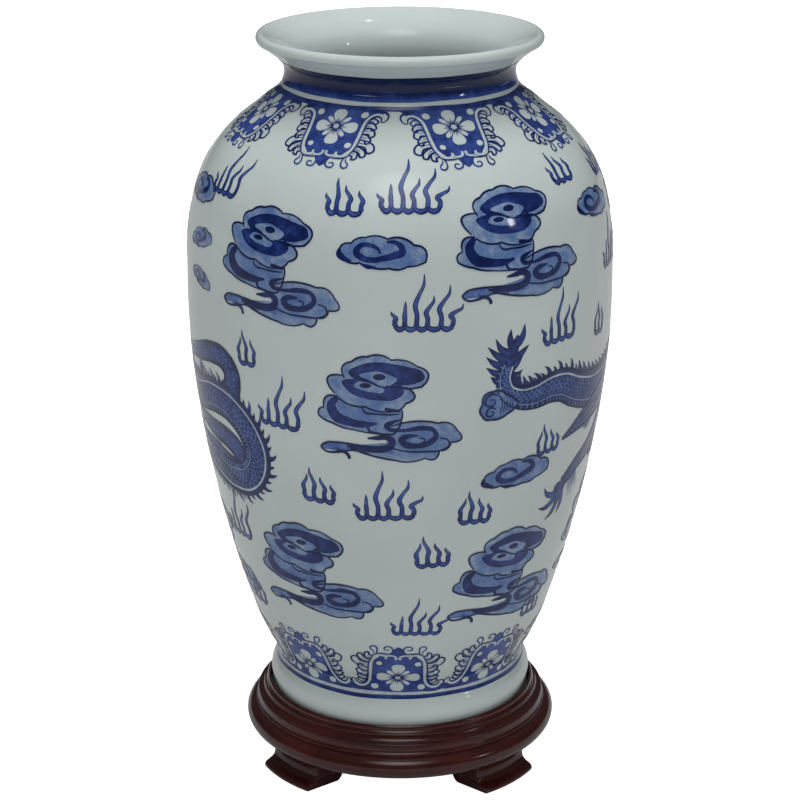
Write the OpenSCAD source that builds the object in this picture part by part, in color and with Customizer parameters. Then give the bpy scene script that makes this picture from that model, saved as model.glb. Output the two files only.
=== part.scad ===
// A tall baluster vase of glazed porcelain, standing loose on a turned and
// carved hardwood stand. +Z is up, the origin is on the table under the axis,
// and the front of the object faces -Y.

/* [Vase] */
// Height of the vase from its foot to the top of its lip
vase_h = 356; // [340:1:370]
// Largest radius of the body, high on the shoulder
belly_r = 110; // [106:0.5:114]
// Smallest radius, at the neck
neck_r = 58.4; // [56:0.2:60]
// Radius at the outside of the flaring lip
lip_r = 72.8; // [71:0.2:75]
// Radius of the rounded foot
foot_r = 70; // [69:0.1:70.2]
// Thickness of the fired wall
wall_t = 6.5; // [5:0.5:8]

/* [Stand] */
// Height of the feet, from the table to the underside of the ring
foot_top = 17; // [15:0.5:20]
// Radius at the outside of the big half-round moulding
ring_r = 83.6; // [82:0.2:86]
// Half the thickness of the big half-round moulding
roll_r = 6.2; // [5.8:0.1:6.4]
// Radius of the recess that the vase's foot sits in
seat_r = 70.7; // [70.6:0.1:71]
// Depth of that recess, from the ring's top edge to the panel
seat_depth = 5.4; // [4:0.2:6]
// Radius of the opening turned out of the ring's underside
bore_r = 52; // [48:1:54]

/* [Feet] */
// Angle of each foot from the front or back centre line
foot_angle = 50; // [45:0.5:55]
// How far the stand is turned on the table
stand_turn = -1.5; // [-3:0.5:3]
// Width of a foot, across its radial line
foot_w = 38.6; // [34:0.2:42]
// Thickness of the felt pad under each foot
pad_t = 1; // [0.8:0.1:1.5]
// Radius of the felt pad under each foot
pad_r = 8; // [6:0.5:9]

/* [Fasteners] */
// Radius of the wood screw's shank
screw_r = 2; // [1.5:0.1:2.2]
// Radius of the wood screw's threaded end
thread_r = 1.7; // [1.3:0.1:1.8]
// Radius of the wood screw's head
head_r = 3.9; // [3.5:0.1:4.2]
// Radius of the locating dowel
dowel_r = 3; // [2.5:0.5:4]
// Length of the locating dowel
dowel_l = 16; // [12:1:18]

/* [Hidden] */
$fn = 96;
eps = 0.02;

// Heights on the stand, from the table
roll_z = foot_top + roll_r;
ring_top = foot_top + 26.6;
seat_z = ring_top - seat_depth;
mat_t = 0.8;
vase_z = seat_z + mat_t;

// The panel that closes the ring lies in a rebate
panel_r = 60.2;
panel_t = 4;
panel_gap = 0.1;

// The feet's fasteners, along each foot's radial line
screw_u = 70;
dowel_u = 61.5;
screw_top = foot_top + 12;
head_z = pad_t + 1.6;
head_h = 2;

FEET = ["front_left", "front_right", "back_left", "back_right"];

// Angle of a foot about +Z, measured from -Y towards +X
function foot_at(name) =
    stand_turn + (name == "front_left" ? -foot_angle
                : name == "front_right" ? foot_angle
                : name == "back_left" ? foot_angle - 180
                : 180 - foot_angle);

// ---- curves --------------------------------------------------------------
// Unit step and length from one point of a list to the next
function chord(p, i) = norm(p[i + 1] - p[i]);
function step(p, i) = (p[i + 1] - p[i]) / chord(p, i);

// Slope of the smooth curve at a point: the steps either side, weighted so
// that the nearer neighbour counts for more
function slope(p, i) =
    i == 0 ? step(p, 0)
    : i == len(p) - 1 ? step(p, i - 1)
    : (step(p, i - 1) * chord(p, i) + step(p, i) * chord(p, i - 1))
      / (chord(p, i - 1) + chord(p, i));

// A cubic through every point of p, with n straight pieces between two points
function smooth(p, n) = concat(
    [for (i = [0 : len(p) - 2]) for (k = [0 : n - 1])
        let (s = k / n, h = chord(p, i))
        (2 * pow(s, 3) - 3 * pow(s, 2) + 1) * p[i]
        + (pow(s, 3) - 2 * pow(s, 2) + s) * h * slope(p, i)
        + (3 * pow(s, 2) - 2 * pow(s, 3)) * p[i + 1]
        + (pow(s, 3) - pow(s, 2)) * h * slope(p, i + 1)],
    [p[len(p) - 1]]);

// The same curve moved inwards by t, square to itself
function inward(p, t) = [for (i = [0 : len(p) - 1])
    let (s = slope(p, i)) p[i] + t * [-s[1], s[0]] / norm(s)];

function arc(centre, r, from, to, n) = [for (k = [0 : n])
    let (a = from + (to - from) * k / n) centre + r * [cos(a), sin(a)]];

function reversed(p) = [for (i = [len(p) - 1 : -1 : 0]) p[i]];

// ---- vase ----------------------------------------------------------------
// Heights on the vase are measured from its own foot, and stretch with it
rise = vase_h / 356;
// Widths of the body stretch with its largest radius
swell = belly_r / 110;

foot_line = [
    [foot_r - 3.2, 0], [foot_r - 1.8, 1.6], [foot_r - 0.8, 5], [foot_r, 9.5],
    [foot_r - 0.8, 14], [foot_r - 3.2, 19]];

body_line = [
    [67.3 * swell, 25 * rise], [71.6 * swell, 34 * rise],
    [76.2 * swell, 44 * rise], [83.2 * swell, 64 * rise],
    [89.1 * swell, 84.5 * rise], [96.6 * swell, 114.5 * rise],
    [102.6 * swell, 144.5 * rise], [106.9 * swell, 174.5 * rise],
    [109.5 * swell, 204 * rise], [belly_r, 231 * rise],
    [108 * swell, 264 * rise], [102.6 * swell, 284.5 * rise],
    [91.3 * swell, 302.9 * rise], [70.2 * swell, 321.2 * rise]];

neck_line = [
    [neck_r + 1.9, vase_h - 26], [neck_r, vase_h - 19],
    [neck_r + 1, vase_h - 15], [lip_r - 10.3, vase_h - 11.6],
    [lip_r - 5.8, vase_h - 8], [lip_r - 2.5, vase_h - 5.2]];

lip_t = 2.8;
curve_n = 2;
base_t = 8;
base_recess = 5.5;

// The inside follows the body a wall's thickness in, and rounds to a flat floor
inside_line = inward(
    smooth(concat([for (i = [1 : len(body_line) - 1]) body_line[i]], neck_line), curve_n),
    wall_t);
floor_line = smooth([
    [0, base_recess + base_t], [36, base_recess + base_t + 0.8],
    [52, 18.5], [60.5, 27], inside_line[0]], curve_n);

module vase_shape() {
    polygon(concat(
        [[0, base_recess], [foot_r - 14, base_recess], [foot_r - 12, 4],
         [foot_r - 11, 0]],
        smooth(concat(foot_line, body_line, neck_line), curve_n),
        arc([lip_r - lip_t, vase_h - lip_t], lip_t, -40, 150, 7),
        reversed(inside_line),
        [for (i = [len(floor_line) - 2 : -1 : 0]) floor_line[i]]));
}

module vase() {
    color([0.78, 0.83, 0.83])
    translate([0, 0, vase_z])
    rotate_extrude() vase_shape();
}

// ---- stand ---------------------------------------------------------------
// Loose mat in the recess, between the vase and the panel
module felt_mat() {
    color([0.10, 0.16, 0.12])
    translate([0, 0, seat_z])
    cylinder(r = seat_r - 0.7, h = mat_t);
}

// The mouldings from the big half-round up to the ring's top edge
module ring_shape() {
    polygon(concat(
        [[bore_r, foot_top]],
        arc([ring_r - roll_r, roll_z], roll_r, -90, 72, 14),
        [[ring_r - 5.4, ring_top - 14.2], [ring_r - 5.1, ring_top - 13.4],
         [ring_r - 6.2, ring_top - 9], [ring_r - 6.5, ring_top - 8.2]],
        arc([ring_r - 6.6, ring_top - 4.6], 3.5, -90, -170, 6),
        arc([ring_r - 11.2, ring_top - 4.3], 1.5, -30, 70, 6),
        [[ring_r - 11.4, ring_top - 2.4], [ring_r - 11.3, ring_top - 1.4],
         [ring_r - 11.7, ring_top - 0.5], [seat_r + 0.6, ring_top],
         [seat_r, ring_top - 0.3], [seat_r, seat_z],
         [panel_r + panel_gap, seat_z],
         [panel_r + panel_gap, seat_z - panel_t], [bore_r, seat_z - panel_t]]));
}

module stand_ring() {
    color([0.17, 0.07, 0.06])
    difference() {
        rotate_extrude() ring_shape();
        at_feet() {
            translate([dowel_u, 0, foot_top - eps])
                cylinder(r = dowel_r, h = dowel_l / 2 + eps);
            translate([screw_u, 0, foot_top - eps])
                cylinder(r = thread_r, h = screw_top - foot_top + eps);
        }
    }
}

module floor_panel() {
    color([0.24, 0.12, 0.09])
    translate([0, 0, seat_z - panel_t]) cylinder(r = panel_r, h = panel_t);
}

// Turns +X to a foot's radial line
module turned(angle) {
    rotate([0, 0, angle - 90]) children();
}

module at_feet() {
    for (name = FEET) turned(foot_at(name)) children();
}

// Outline of a foot along its radial line: a cove that flares to a low
// rounded toe in front, and a bracket behind
module foot_shape() {
    polygon(concat(
        smooth([[80.2, pad_t], [80.5, pad_t + 1.1], [80.3, pad_t + 2.3],
                [78.8, pad_t + 3.2], [76.2, pad_t + 4.4], [74.4, pad_t + 6.2],
                [73.8, pad_t + 8.6], [74.2, pad_t + 11.4],
                [76.4, foot_top]], 3),
        smooth([[53, foot_top], [53.6, pad_t + 11], [56.4, pad_t + 5.4],
                [59.8, pad_t]], 4)));
}

module foot(name) {
    color([0.17, 0.07, 0.06])
    turned(foot_at(name))
    difference() {
        intersection() {
            rotate_extrude() foot_shape();
            translate([40, -foot_w / 2, 0]) cube([50, foot_w, foot_top + 5]);
        }
        translate([screw_u, 0, -eps]) cylinder(r = screw_r, h = foot_top + 1);
        translate([screw_u, 0, -eps]) cylinder(r = head_r, h = head_z + eps);
        translate([screw_u, 0, head_z])
            cylinder(r1 = head_r, r2 = screw_r, h = head_h);
        translate([dowel_u, 0, foot_top - dowel_l / 2])
            cylinder(r = dowel_r, h = dowel_l);
    }
}

module foot_front_left() { foot("front_left"); }
module foot_front_right() { foot("front_right"); }
module foot_back_left() { foot("back_left"); }
module foot_back_right() { foot("back_right"); }

// Countersunk screws, up through the feet into the ring
module foot_screws() {
    color([0.55, 0.52, 0.42])
    at_feet() translate([screw_u, 0, 0]) {
        difference() {
            translate([0, 0, head_z]) cylinder(r1 = head_r, r2 = screw_r, h = head_h);
            translate([-head_r, -0.5, head_z - eps]) cube([2 * head_r, 1, 0.8]);
        }
        translate([0, 0, head_z + head_h - eps])
            cylinder(r = screw_r, h = foot_top - head_z - head_h + eps);
        translate([0, 0, foot_top - eps])
            cylinder(r = thread_r, h = screw_top - foot_top - 1);
        translate([0, 0, screw_top - 1 - 2 * eps])
            cylinder(r1 = thread_r, r2 = 0.3, h = 1);
    }
}

module foot_dowels() {
    color([0.62, 0.48, 0.30])
    at_feet() translate([dowel_u, 0, foot_top - dowel_l / 2])
        cylinder(r = dowel_r, h = dowel_l);
}

module pad(name) {
    color([0.08, 0.09, 0.08])
    turned(foot_at(name)) translate([screw_u, 0, 0]) cylinder(r = pad_r, h = pad_t);
}

module pad_front_left() { pad("front_left"); }
module pad_front_right() { pad("front_right"); }
module pad_back_left() { pad("back_left"); }
module pad_back_right() { pad("back_right"); }

vase();
felt_mat();
stand_ring();
floor_panel();
foot_front_left();
foot_front_right();
foot_back_left();
foot_back_right();
foot_screws();
foot_dowels();
pad_front_left();
pad_front_right();
pad_back_left();
pad_back_right();
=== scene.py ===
"""Visible pieces and finishes of a blue-and-white porcelain vase on its hardwood stand.

The file is laid out as an add-on: property groups hold the sizes and colours a
user would change, one operator makes each piece or group of like pieces, and
one panel in the 3D view's sidebar lists them. Run as a script, it makes the
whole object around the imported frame.

Lengths in the drawing functions are in millimetres. A painted motif is drawn
flat, x to the right and y up, and is then laid on the vase's outer wall.
"""

import math

import bpy
import numpy as np
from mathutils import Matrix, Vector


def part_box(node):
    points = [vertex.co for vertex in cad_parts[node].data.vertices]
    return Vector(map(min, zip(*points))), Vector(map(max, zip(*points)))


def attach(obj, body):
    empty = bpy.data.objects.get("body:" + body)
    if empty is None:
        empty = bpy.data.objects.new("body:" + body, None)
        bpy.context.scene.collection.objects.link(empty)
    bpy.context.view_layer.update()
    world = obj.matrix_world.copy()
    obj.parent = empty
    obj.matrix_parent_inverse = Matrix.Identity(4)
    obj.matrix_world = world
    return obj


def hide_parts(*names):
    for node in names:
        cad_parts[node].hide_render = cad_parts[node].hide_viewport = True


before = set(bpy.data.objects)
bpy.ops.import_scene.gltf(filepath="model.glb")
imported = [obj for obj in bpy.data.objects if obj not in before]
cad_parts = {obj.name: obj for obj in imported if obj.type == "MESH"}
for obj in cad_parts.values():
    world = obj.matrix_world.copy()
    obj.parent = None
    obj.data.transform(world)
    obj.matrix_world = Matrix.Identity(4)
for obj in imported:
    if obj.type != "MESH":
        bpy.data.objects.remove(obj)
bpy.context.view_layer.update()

bl_info = {
    "name": "Porcelain vase on a stand",
    "version": (1, 0, 0),
    "blender": (4, 5, 0),
    "location": "View3D > Sidebar > Porcelain",
    "description": "Makes a painted porcelain vase and its turned hardwood stand",
    "category": "Object",
}

MM = 0.001

# ---- outlines shared by more than one piece, in mm --------------------------

VASE_FOOT_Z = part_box("vase")[0][2] / MM
VASE_H = (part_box("vase")[1][2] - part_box("vase")[0][2]) / MM
RING_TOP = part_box("stand_ring")[1][2] / MM
RING_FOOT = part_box("stand_ring")[0][2] / MM
SEAT_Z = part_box("felt_mat")[0][2] / MM
RING_R = (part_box("stand_ring")[1][0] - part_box("stand_ring")[0][0]) / 2 / MM
SEAT_R = 70.7
PANEL_R = 60.2
PANEL_T = (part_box("floor_panel")[1][2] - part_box("floor_panel")[0][2]) / MM
BORE_R = 52.0

# Outer wall of the vase: radius, and height above its own foot
FOOT_LINE = [(66.8, 0), (68.2, 1.6), (69.2, 5), (70, 9.5), (69.2, 14), (66.8, 19)]
BODY_LINE = [
    (67.3, 25), (71.6, 34), (76.2, 44), (83.2, 64), (89.1, 84.5), (96.6, 114.5),
    (102.6, 144.5), (106.9, 174.5), (109.5, 204), (110, 231), (108, 264),
    (102.6, 284.5), (91.3, 302.9), (70.2, 321.2),
]
NECK_LINE = [(60.3, 330), (58.4, 337), (59.4, 341), (62.5, 344.4), (67, 348), (70.3, 350.8)]
LIP_T = 2.8
LIP_CENTRE = (70.0, VASE_H - LIP_T)
WALL_T = 6.5
BASE_RECESS = 5.5
INSIDE_TOP = VASE_H - 4.2
INSIDE_FLOOR = [(60.5, 27), (52, 18.5), (36, 14.3), (0, 13.5)]

# The dragons are drawn true to size at this radius
BELLY = 107.0
# How far paint of layer 0 stands off the wall, and what each layer adds
FIRST_LIFT = 0.09
LAYER_LIFT = 0.045
# Strokes of one layer are stepped apart too, in layers, over and over
STROKE_STEP = 0.03
STROKES_STEPPED = 24
# Ink over 1 stays at the darkest cobalt whatever the brush marks take off it; the collar's painted shade under the
# lip uses this
MOST_INK = 1.3


def smooth_line(points, steps, closed=False):
    """A cubic through every point. Each point's slope is the mean of the unit
    steps to its neighbours, the nearer neighbour counting for more; between
    two points the curve is the Hermite cubic of their places and slopes."""
    p = np.asarray(points, float)
    if closed:
        p = np.vstack([p, p[:1]])
    leap = np.diff(p, axis=0)
    length = np.maximum(np.hypot(leap[:, 0], leap[:, 1]), 1e-9)
    unit = leap / length[:, None]
    before, after = np.vstack([unit[-1:], unit]), np.vstack([unit, unit[:1]])
    near, far = np.append(length[-1], length), np.append(length, length[0])
    slope = (before * far[:, None] + after * near[:, None]) / (near + far)[:, None]
    if not closed:
        slope[0], slope[-1] = unit[0], unit[-1]
    t = (np.arange(steps) / steps)[None, :, None]
    h = length[:, None, None]
    line = (
        (2 * t**3 - 3 * t**2 + 1) * p[:-1, None]
        + (t**3 - 2 * t**2 + t) * h * slope[:-1, None]
        + (3 * t**2 - 2 * t**3) * p[1:, None]
        + (t**3 - t**2) * h * slope[1:, None]
    ).reshape(-1, 2)
    return line if closed else np.vstack([line, p[-1:]])


def arc(centre, radius, start, end, steps):
    """Points on a circle, from one angle to another, in degrees."""
    a = np.radians(np.linspace(start, end, steps + 1))
    return np.asarray(centre, float) + radius * np.stack([np.cos(a), np.sin(a)], 1)


def sides_of(line):
    """Unit tangent and unit left-hand side at every point of a line."""
    tangent = np.gradient(line, axis=0)
    tangent /= np.maximum(np.hypot(tangent[:, 0], tangent[:, 1]), 1e-9)[:, None]
    return tangent, np.stack([-tangent[:, 1], tangent[:, 0]], 1)


def run_of(line):
    """Distance along a line, from its first point."""
    return np.concatenate([[0], np.cumsum(np.hypot(*np.diff(line, axis=0).T))])


def evenly(line, pitch):
    """The same line with points a fixed distance apart."""
    run = run_of(line)
    at = np.linspace(0, run[-1], max(int(run[-1] / pitch) + 1, 3))
    return np.stack([np.interp(at, run, line[:, k]) for k in (0, 1)], 1)


# The outer wall as a dense line, and the distance along it from the foot's edge
WALL = np.vstack([
    smooth_line(FOOT_LINE + BODY_LINE + NECK_LINE, 24),
    arc(LIP_CENTRE, LIP_T, -40, 150, 24),
])
WALL_RUN = run_of(WALL)
WALL_OUT = -sides_of(WALL)[1]


def wall_at(run):
    """Radius, height and outward direction (r, z) of the outer wall, at a
    distance along it from the foot."""
    return [np.interp(run, WALL_RUN, column) for column in (*WALL.T, *WALL_OUT.T)]


# ---- meshes ------------------------------------------------------------------

def new_piece(name, points, faces, body, slot, replaces=(), normals=None, marks=None):
    """An object at the origin from points in mm, with faces of three or four
    corners, optional normals at its points and named values at its points."""
    faces = faces if isinstance(faces, list) else faces.tolist()
    mesh = bpy.data.meshes.new(name)
    mesh.from_pydata(np.asarray(points) * MM, [], faces)
    mesh.validate()
    mesh.polygons.foreach_set("use_smooth", np.ones(len(mesh.polygons), bool))
    for label, values in (marks or {}).items():
        layer = mesh.attributes.new(label, "FLOAT", "POINT")
        layer.data.foreach_set("value", np.asarray(values, np.float32))
    mesh.materials.append(finish_for(slot))
    mesh.update()
    if normals is not None:
        mesh.normals_split_custom_set_from_vertices(np.asarray(normals).tolist())
    piece = bpy.data.objects.new(name, mesh)
    bpy.context.scene.collection.objects.link(piece)
    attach(piece, body)
    if replaces:
        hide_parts(*replaces)
    return piece


def grid_faces(rows, columns, closed_rows=False, closed_columns=False, first=0):
    """Four-cornered faces of a grid of points numbered row by row."""
    i = np.arange(rows if closed_rows else rows - 1)[:, None]
    j = np.arange(columns if closed_columns else columns - 1)[None, :]
    i2, j2 = (i + 1) % rows, (j + 1) % columns
    corners = [i * columns + j, i * columns + j2, i2 * columns + j2, i2 * columns + j]
    return first + np.stack([c.ravel() for c in corners], 1)


def lathe(profile, segments):
    """A profile of radius and height turned about Z. A profile that starts and
    ends on the axis gets one point there at each end; any other is a closed
    loop. Points go anticlockwise seen with the axis on the left."""
    profile = np.asarray(profile, float)
    on_axis = profile[0, 0] < 1e-6
    ring = profile[1:-1] if on_axis else profile
    a = np.arange(segments) * 2 * np.pi / segments
    r, z = ring[:, :1], np.repeat(ring[:, 1:], segments, 1)
    points = np.stack([r * np.sin(a), -r * np.cos(a), z], -1).reshape(-1, 3)
    faces = grid_faces(len(ring), segments, not on_axis, True).tolist()
    if on_axis:
        low, high, last = len(points), len(points) + 1, len(points) - segments
        points = np.vstack([points, [0, 0, profile[0, 1]], [0, 0, profile[-1, 1]]])
        k = np.arange(segments)
        k2 = (k + 1) % segments
        faces += np.stack([np.full_like(k, low), k2, k], 1).tolist()
        faces += np.stack([last + k, last + k2, np.full_like(k, high)], 1).tolist()
    return points, faces


# ---- brush work ----------------------------------------------------------------
# A motif is a tuple of arrays: flat points, ink at each point from 0 for bare
# glaze to 1 or more for the darkest cobalt, layer at each point, and triangles.

def triangles_of(quads):
    """Each four-cornered face as two of three corners."""
    return np.vstack([quads[:, [0, 1, 2]], quads[:, [0, 2, 3]]])


def join(motifs):
    """Several motifs as one. Each part sits a hair above the one before it, so
    strokes that cross in one layer don't lie in one plane."""
    points, ink, layer, faces, count = [], [], [], [], 0
    for k, (p, i, level, f) in enumerate(motifs):
        points.append(p)
        ink.append(i)
        layer.append(level + (k % STROKES_STEPPED) * STROKE_STEP)
        faces.append(f + count)
        count += len(p)
    return np.vstack(points), np.concatenate(ink), np.concatenate(layer), np.vstack(faces)


def stroke(points, widths, ink, layer=3, steps=6, across=2, edge=0.0, plain=False):
    """A brush stroke: a smooth line through the points, with a half width
    carried along it. Ink grows by edge towards both sides of the stroke."""
    line = np.asarray(points, float) if plain else smooth_line(points, steps)
    along = run_of(line)
    along = along / along[-1]
    half = np.interp(along, np.linspace(0, 1, len(widths)), widths)
    side = sides_of(line)[1]
    u = np.linspace(-1, 1, across + 1)
    grid = line[:, None] + side[:, None] * (half[:, None] * u)[..., None]
    shade = np.interp(along, np.linspace(0, 1, np.size(ink)), np.atleast_1d(ink))
    shade = shade[:, None] + edge * u[None, :] ** 2
    faces = triangles_of(grid_faces(len(line), across + 1))[:, ::-1]
    flat = grid.reshape(-1, 2)
    return flat, shade.ravel(), np.full(len(flat), float(layer)), faces


def wash(outline, ink, layer=0, edge=0.12, rings=4, centre=None):
    """A filled shape: a closed outline drawn in towards its centre in even
    steps. Ink grows by edge from the centre to the outline."""
    outline = np.asarray(outline, float)
    middle = outline.mean(0) if centre is None else np.asarray(centre, float)
    t = np.linspace(0, 1, rings + 1)[1:]
    flat = (middle + t[:, None, None] * (outline - middle)).reshape(-1, 2)
    count = len(outline)
    quads = grid_faces(rings, count, False, True)
    k = np.arange(count)
    hub = np.stack([np.full_like(k, len(flat)), k, (k + 1) % count], 1)
    shade = np.append(np.repeat(ink + edge * t**2, count), ink)
    faces = np.vstack([triangles_of(quads)[:, ::-1], hub])
    flat = np.vstack([flat, middle])
    if np.cross(outline[0] - middle, outline[1] - middle) < 0:
        faces = faces[:, ::-1]
    return flat, shade, np.full(len(flat), float(layer)), faces


def rim(shape, widths, ink=0.97, layer=4):
    """A line right round a closed shape."""
    return stroke(np.vstack([shape, shape[:1]]), widths, ink, layer, plain=True)


def blob(x, y, rx, ry, ink, layer=4, tilt=0.0, squareness=0.0, edge=0.05):
    """An oval filled shape, a little squared off where squareness is over 0."""
    a = np.linspace(0, 2 * np.pi, 20, endpoint=False)
    grow = 1 + squareness * np.sin(2 * a) ** 2
    c, s = math.cos(tilt), math.sin(tilt)
    px, py = rx * grow * np.cos(a), ry * grow * np.sin(a)
    outline = np.stack([x + c * px - s * py, y + s * px + c * py], 1)
    return wash(outline, ink, layer, edge, 2)


def scallops(cusps, bulges, steps=7, closed=True):
    """An outline of lobes: between neighbouring cusps it bows to the left by a
    share of the chord, as half a sine wave rounded at the top."""
    p = np.asarray(cusps, float)
    q = np.roll(p, -1, 0) if closed else p[1:]
    p = p if closed else p[:-1]
    chord = q - p
    left = np.stack([-chord[:, 1], chord[:, 0]], 1)
    t = (np.arange(steps) / steps)[None, :, None]
    bow = np.asarray(bulges, float)[:, None, None] * np.sin(np.pi * t) ** 0.8
    line = (p[:, None] + chord[:, None] * t + left[:, None] * bow).reshape(-1, 2)
    return line if closed else np.vstack([line, q[-1:]])


def mirrored(motif):
    """A motif turned over left to right, its faces still facing out."""
    p, ink, layer, faces = motif
    return p * [-1, 1], ink, layer, faces[:, ::-1]


def upended(motif):
    """A motif turned over top to bottom, its faces still facing out."""
    p, ink, layer, faces = motif
    return p * [1, -1], ink, layer, faces[:, ::-1]


def laid(motif, angle, run, size=1.0, tilt=0.0, true_width=True, stretch=1.0):
    """A motif on the wall: its middle at an angle in degrees from the front
    and a distance in mm along the wall, in true width at each height."""
    p, ink, layer, faces = motif
    c, s = math.cos(math.radians(tilt)), math.sin(math.radians(tilt))
    x = size * stretch * (c * p[:, 0] - s * p[:, 1])
    y = size * (s * p[:, 0] + c * p[:, 1])
    r = wall_at(run + y)[0]
    turn = math.radians(angle) + x / (r if true_width else BELLY)
    return turn, run + y, ink, layer, faces


def painted_piece(name, placed):
    """One mesh from motifs placed on the wall. Each point stands off the wall
    by a first lift and a lift for each layer, along the wall's own normal."""
    parts, count, faces = [], 0, []
    for turn, run, ink, layer, f in placed:
        parts.append(np.stack([turn, run, ink, layer], 1))
        faces.append(f + count)
        count += len(turn)
    turn, run, ink, layer = np.vstack(parts).T
    r, z, out_r, out_z = wall_at(run)
    faces = np.vstack(faces)
    flat = np.stack([turn * BELLY, run], 1)[faces]
    turned = np.cross(flat[:, 1] - flat[:, 0], flat[:, 2] - flat[:, 0]) < 0
    faces[turned] = faces[turned][:, ::-1]
    lift = FIRST_LIFT + LAYER_LIFT * layer
    radius, height = r + lift * out_r, z + lift * out_z + VASE_FOOT_Z
    points = np.stack([radius * np.sin(turn), -radius * np.cos(turn), height], 1)
    normals = np.stack([out_r * np.sin(turn), -out_r * np.cos(turn), out_z], 1)
    marks = {"ink": np.clip(ink, 0, MOST_INK)}
    new_piece(name, points, faces, "vase", "porcelain", normals=normals, marks=marks)


# ---- motifs ----------------------------------------------------------------------

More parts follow.
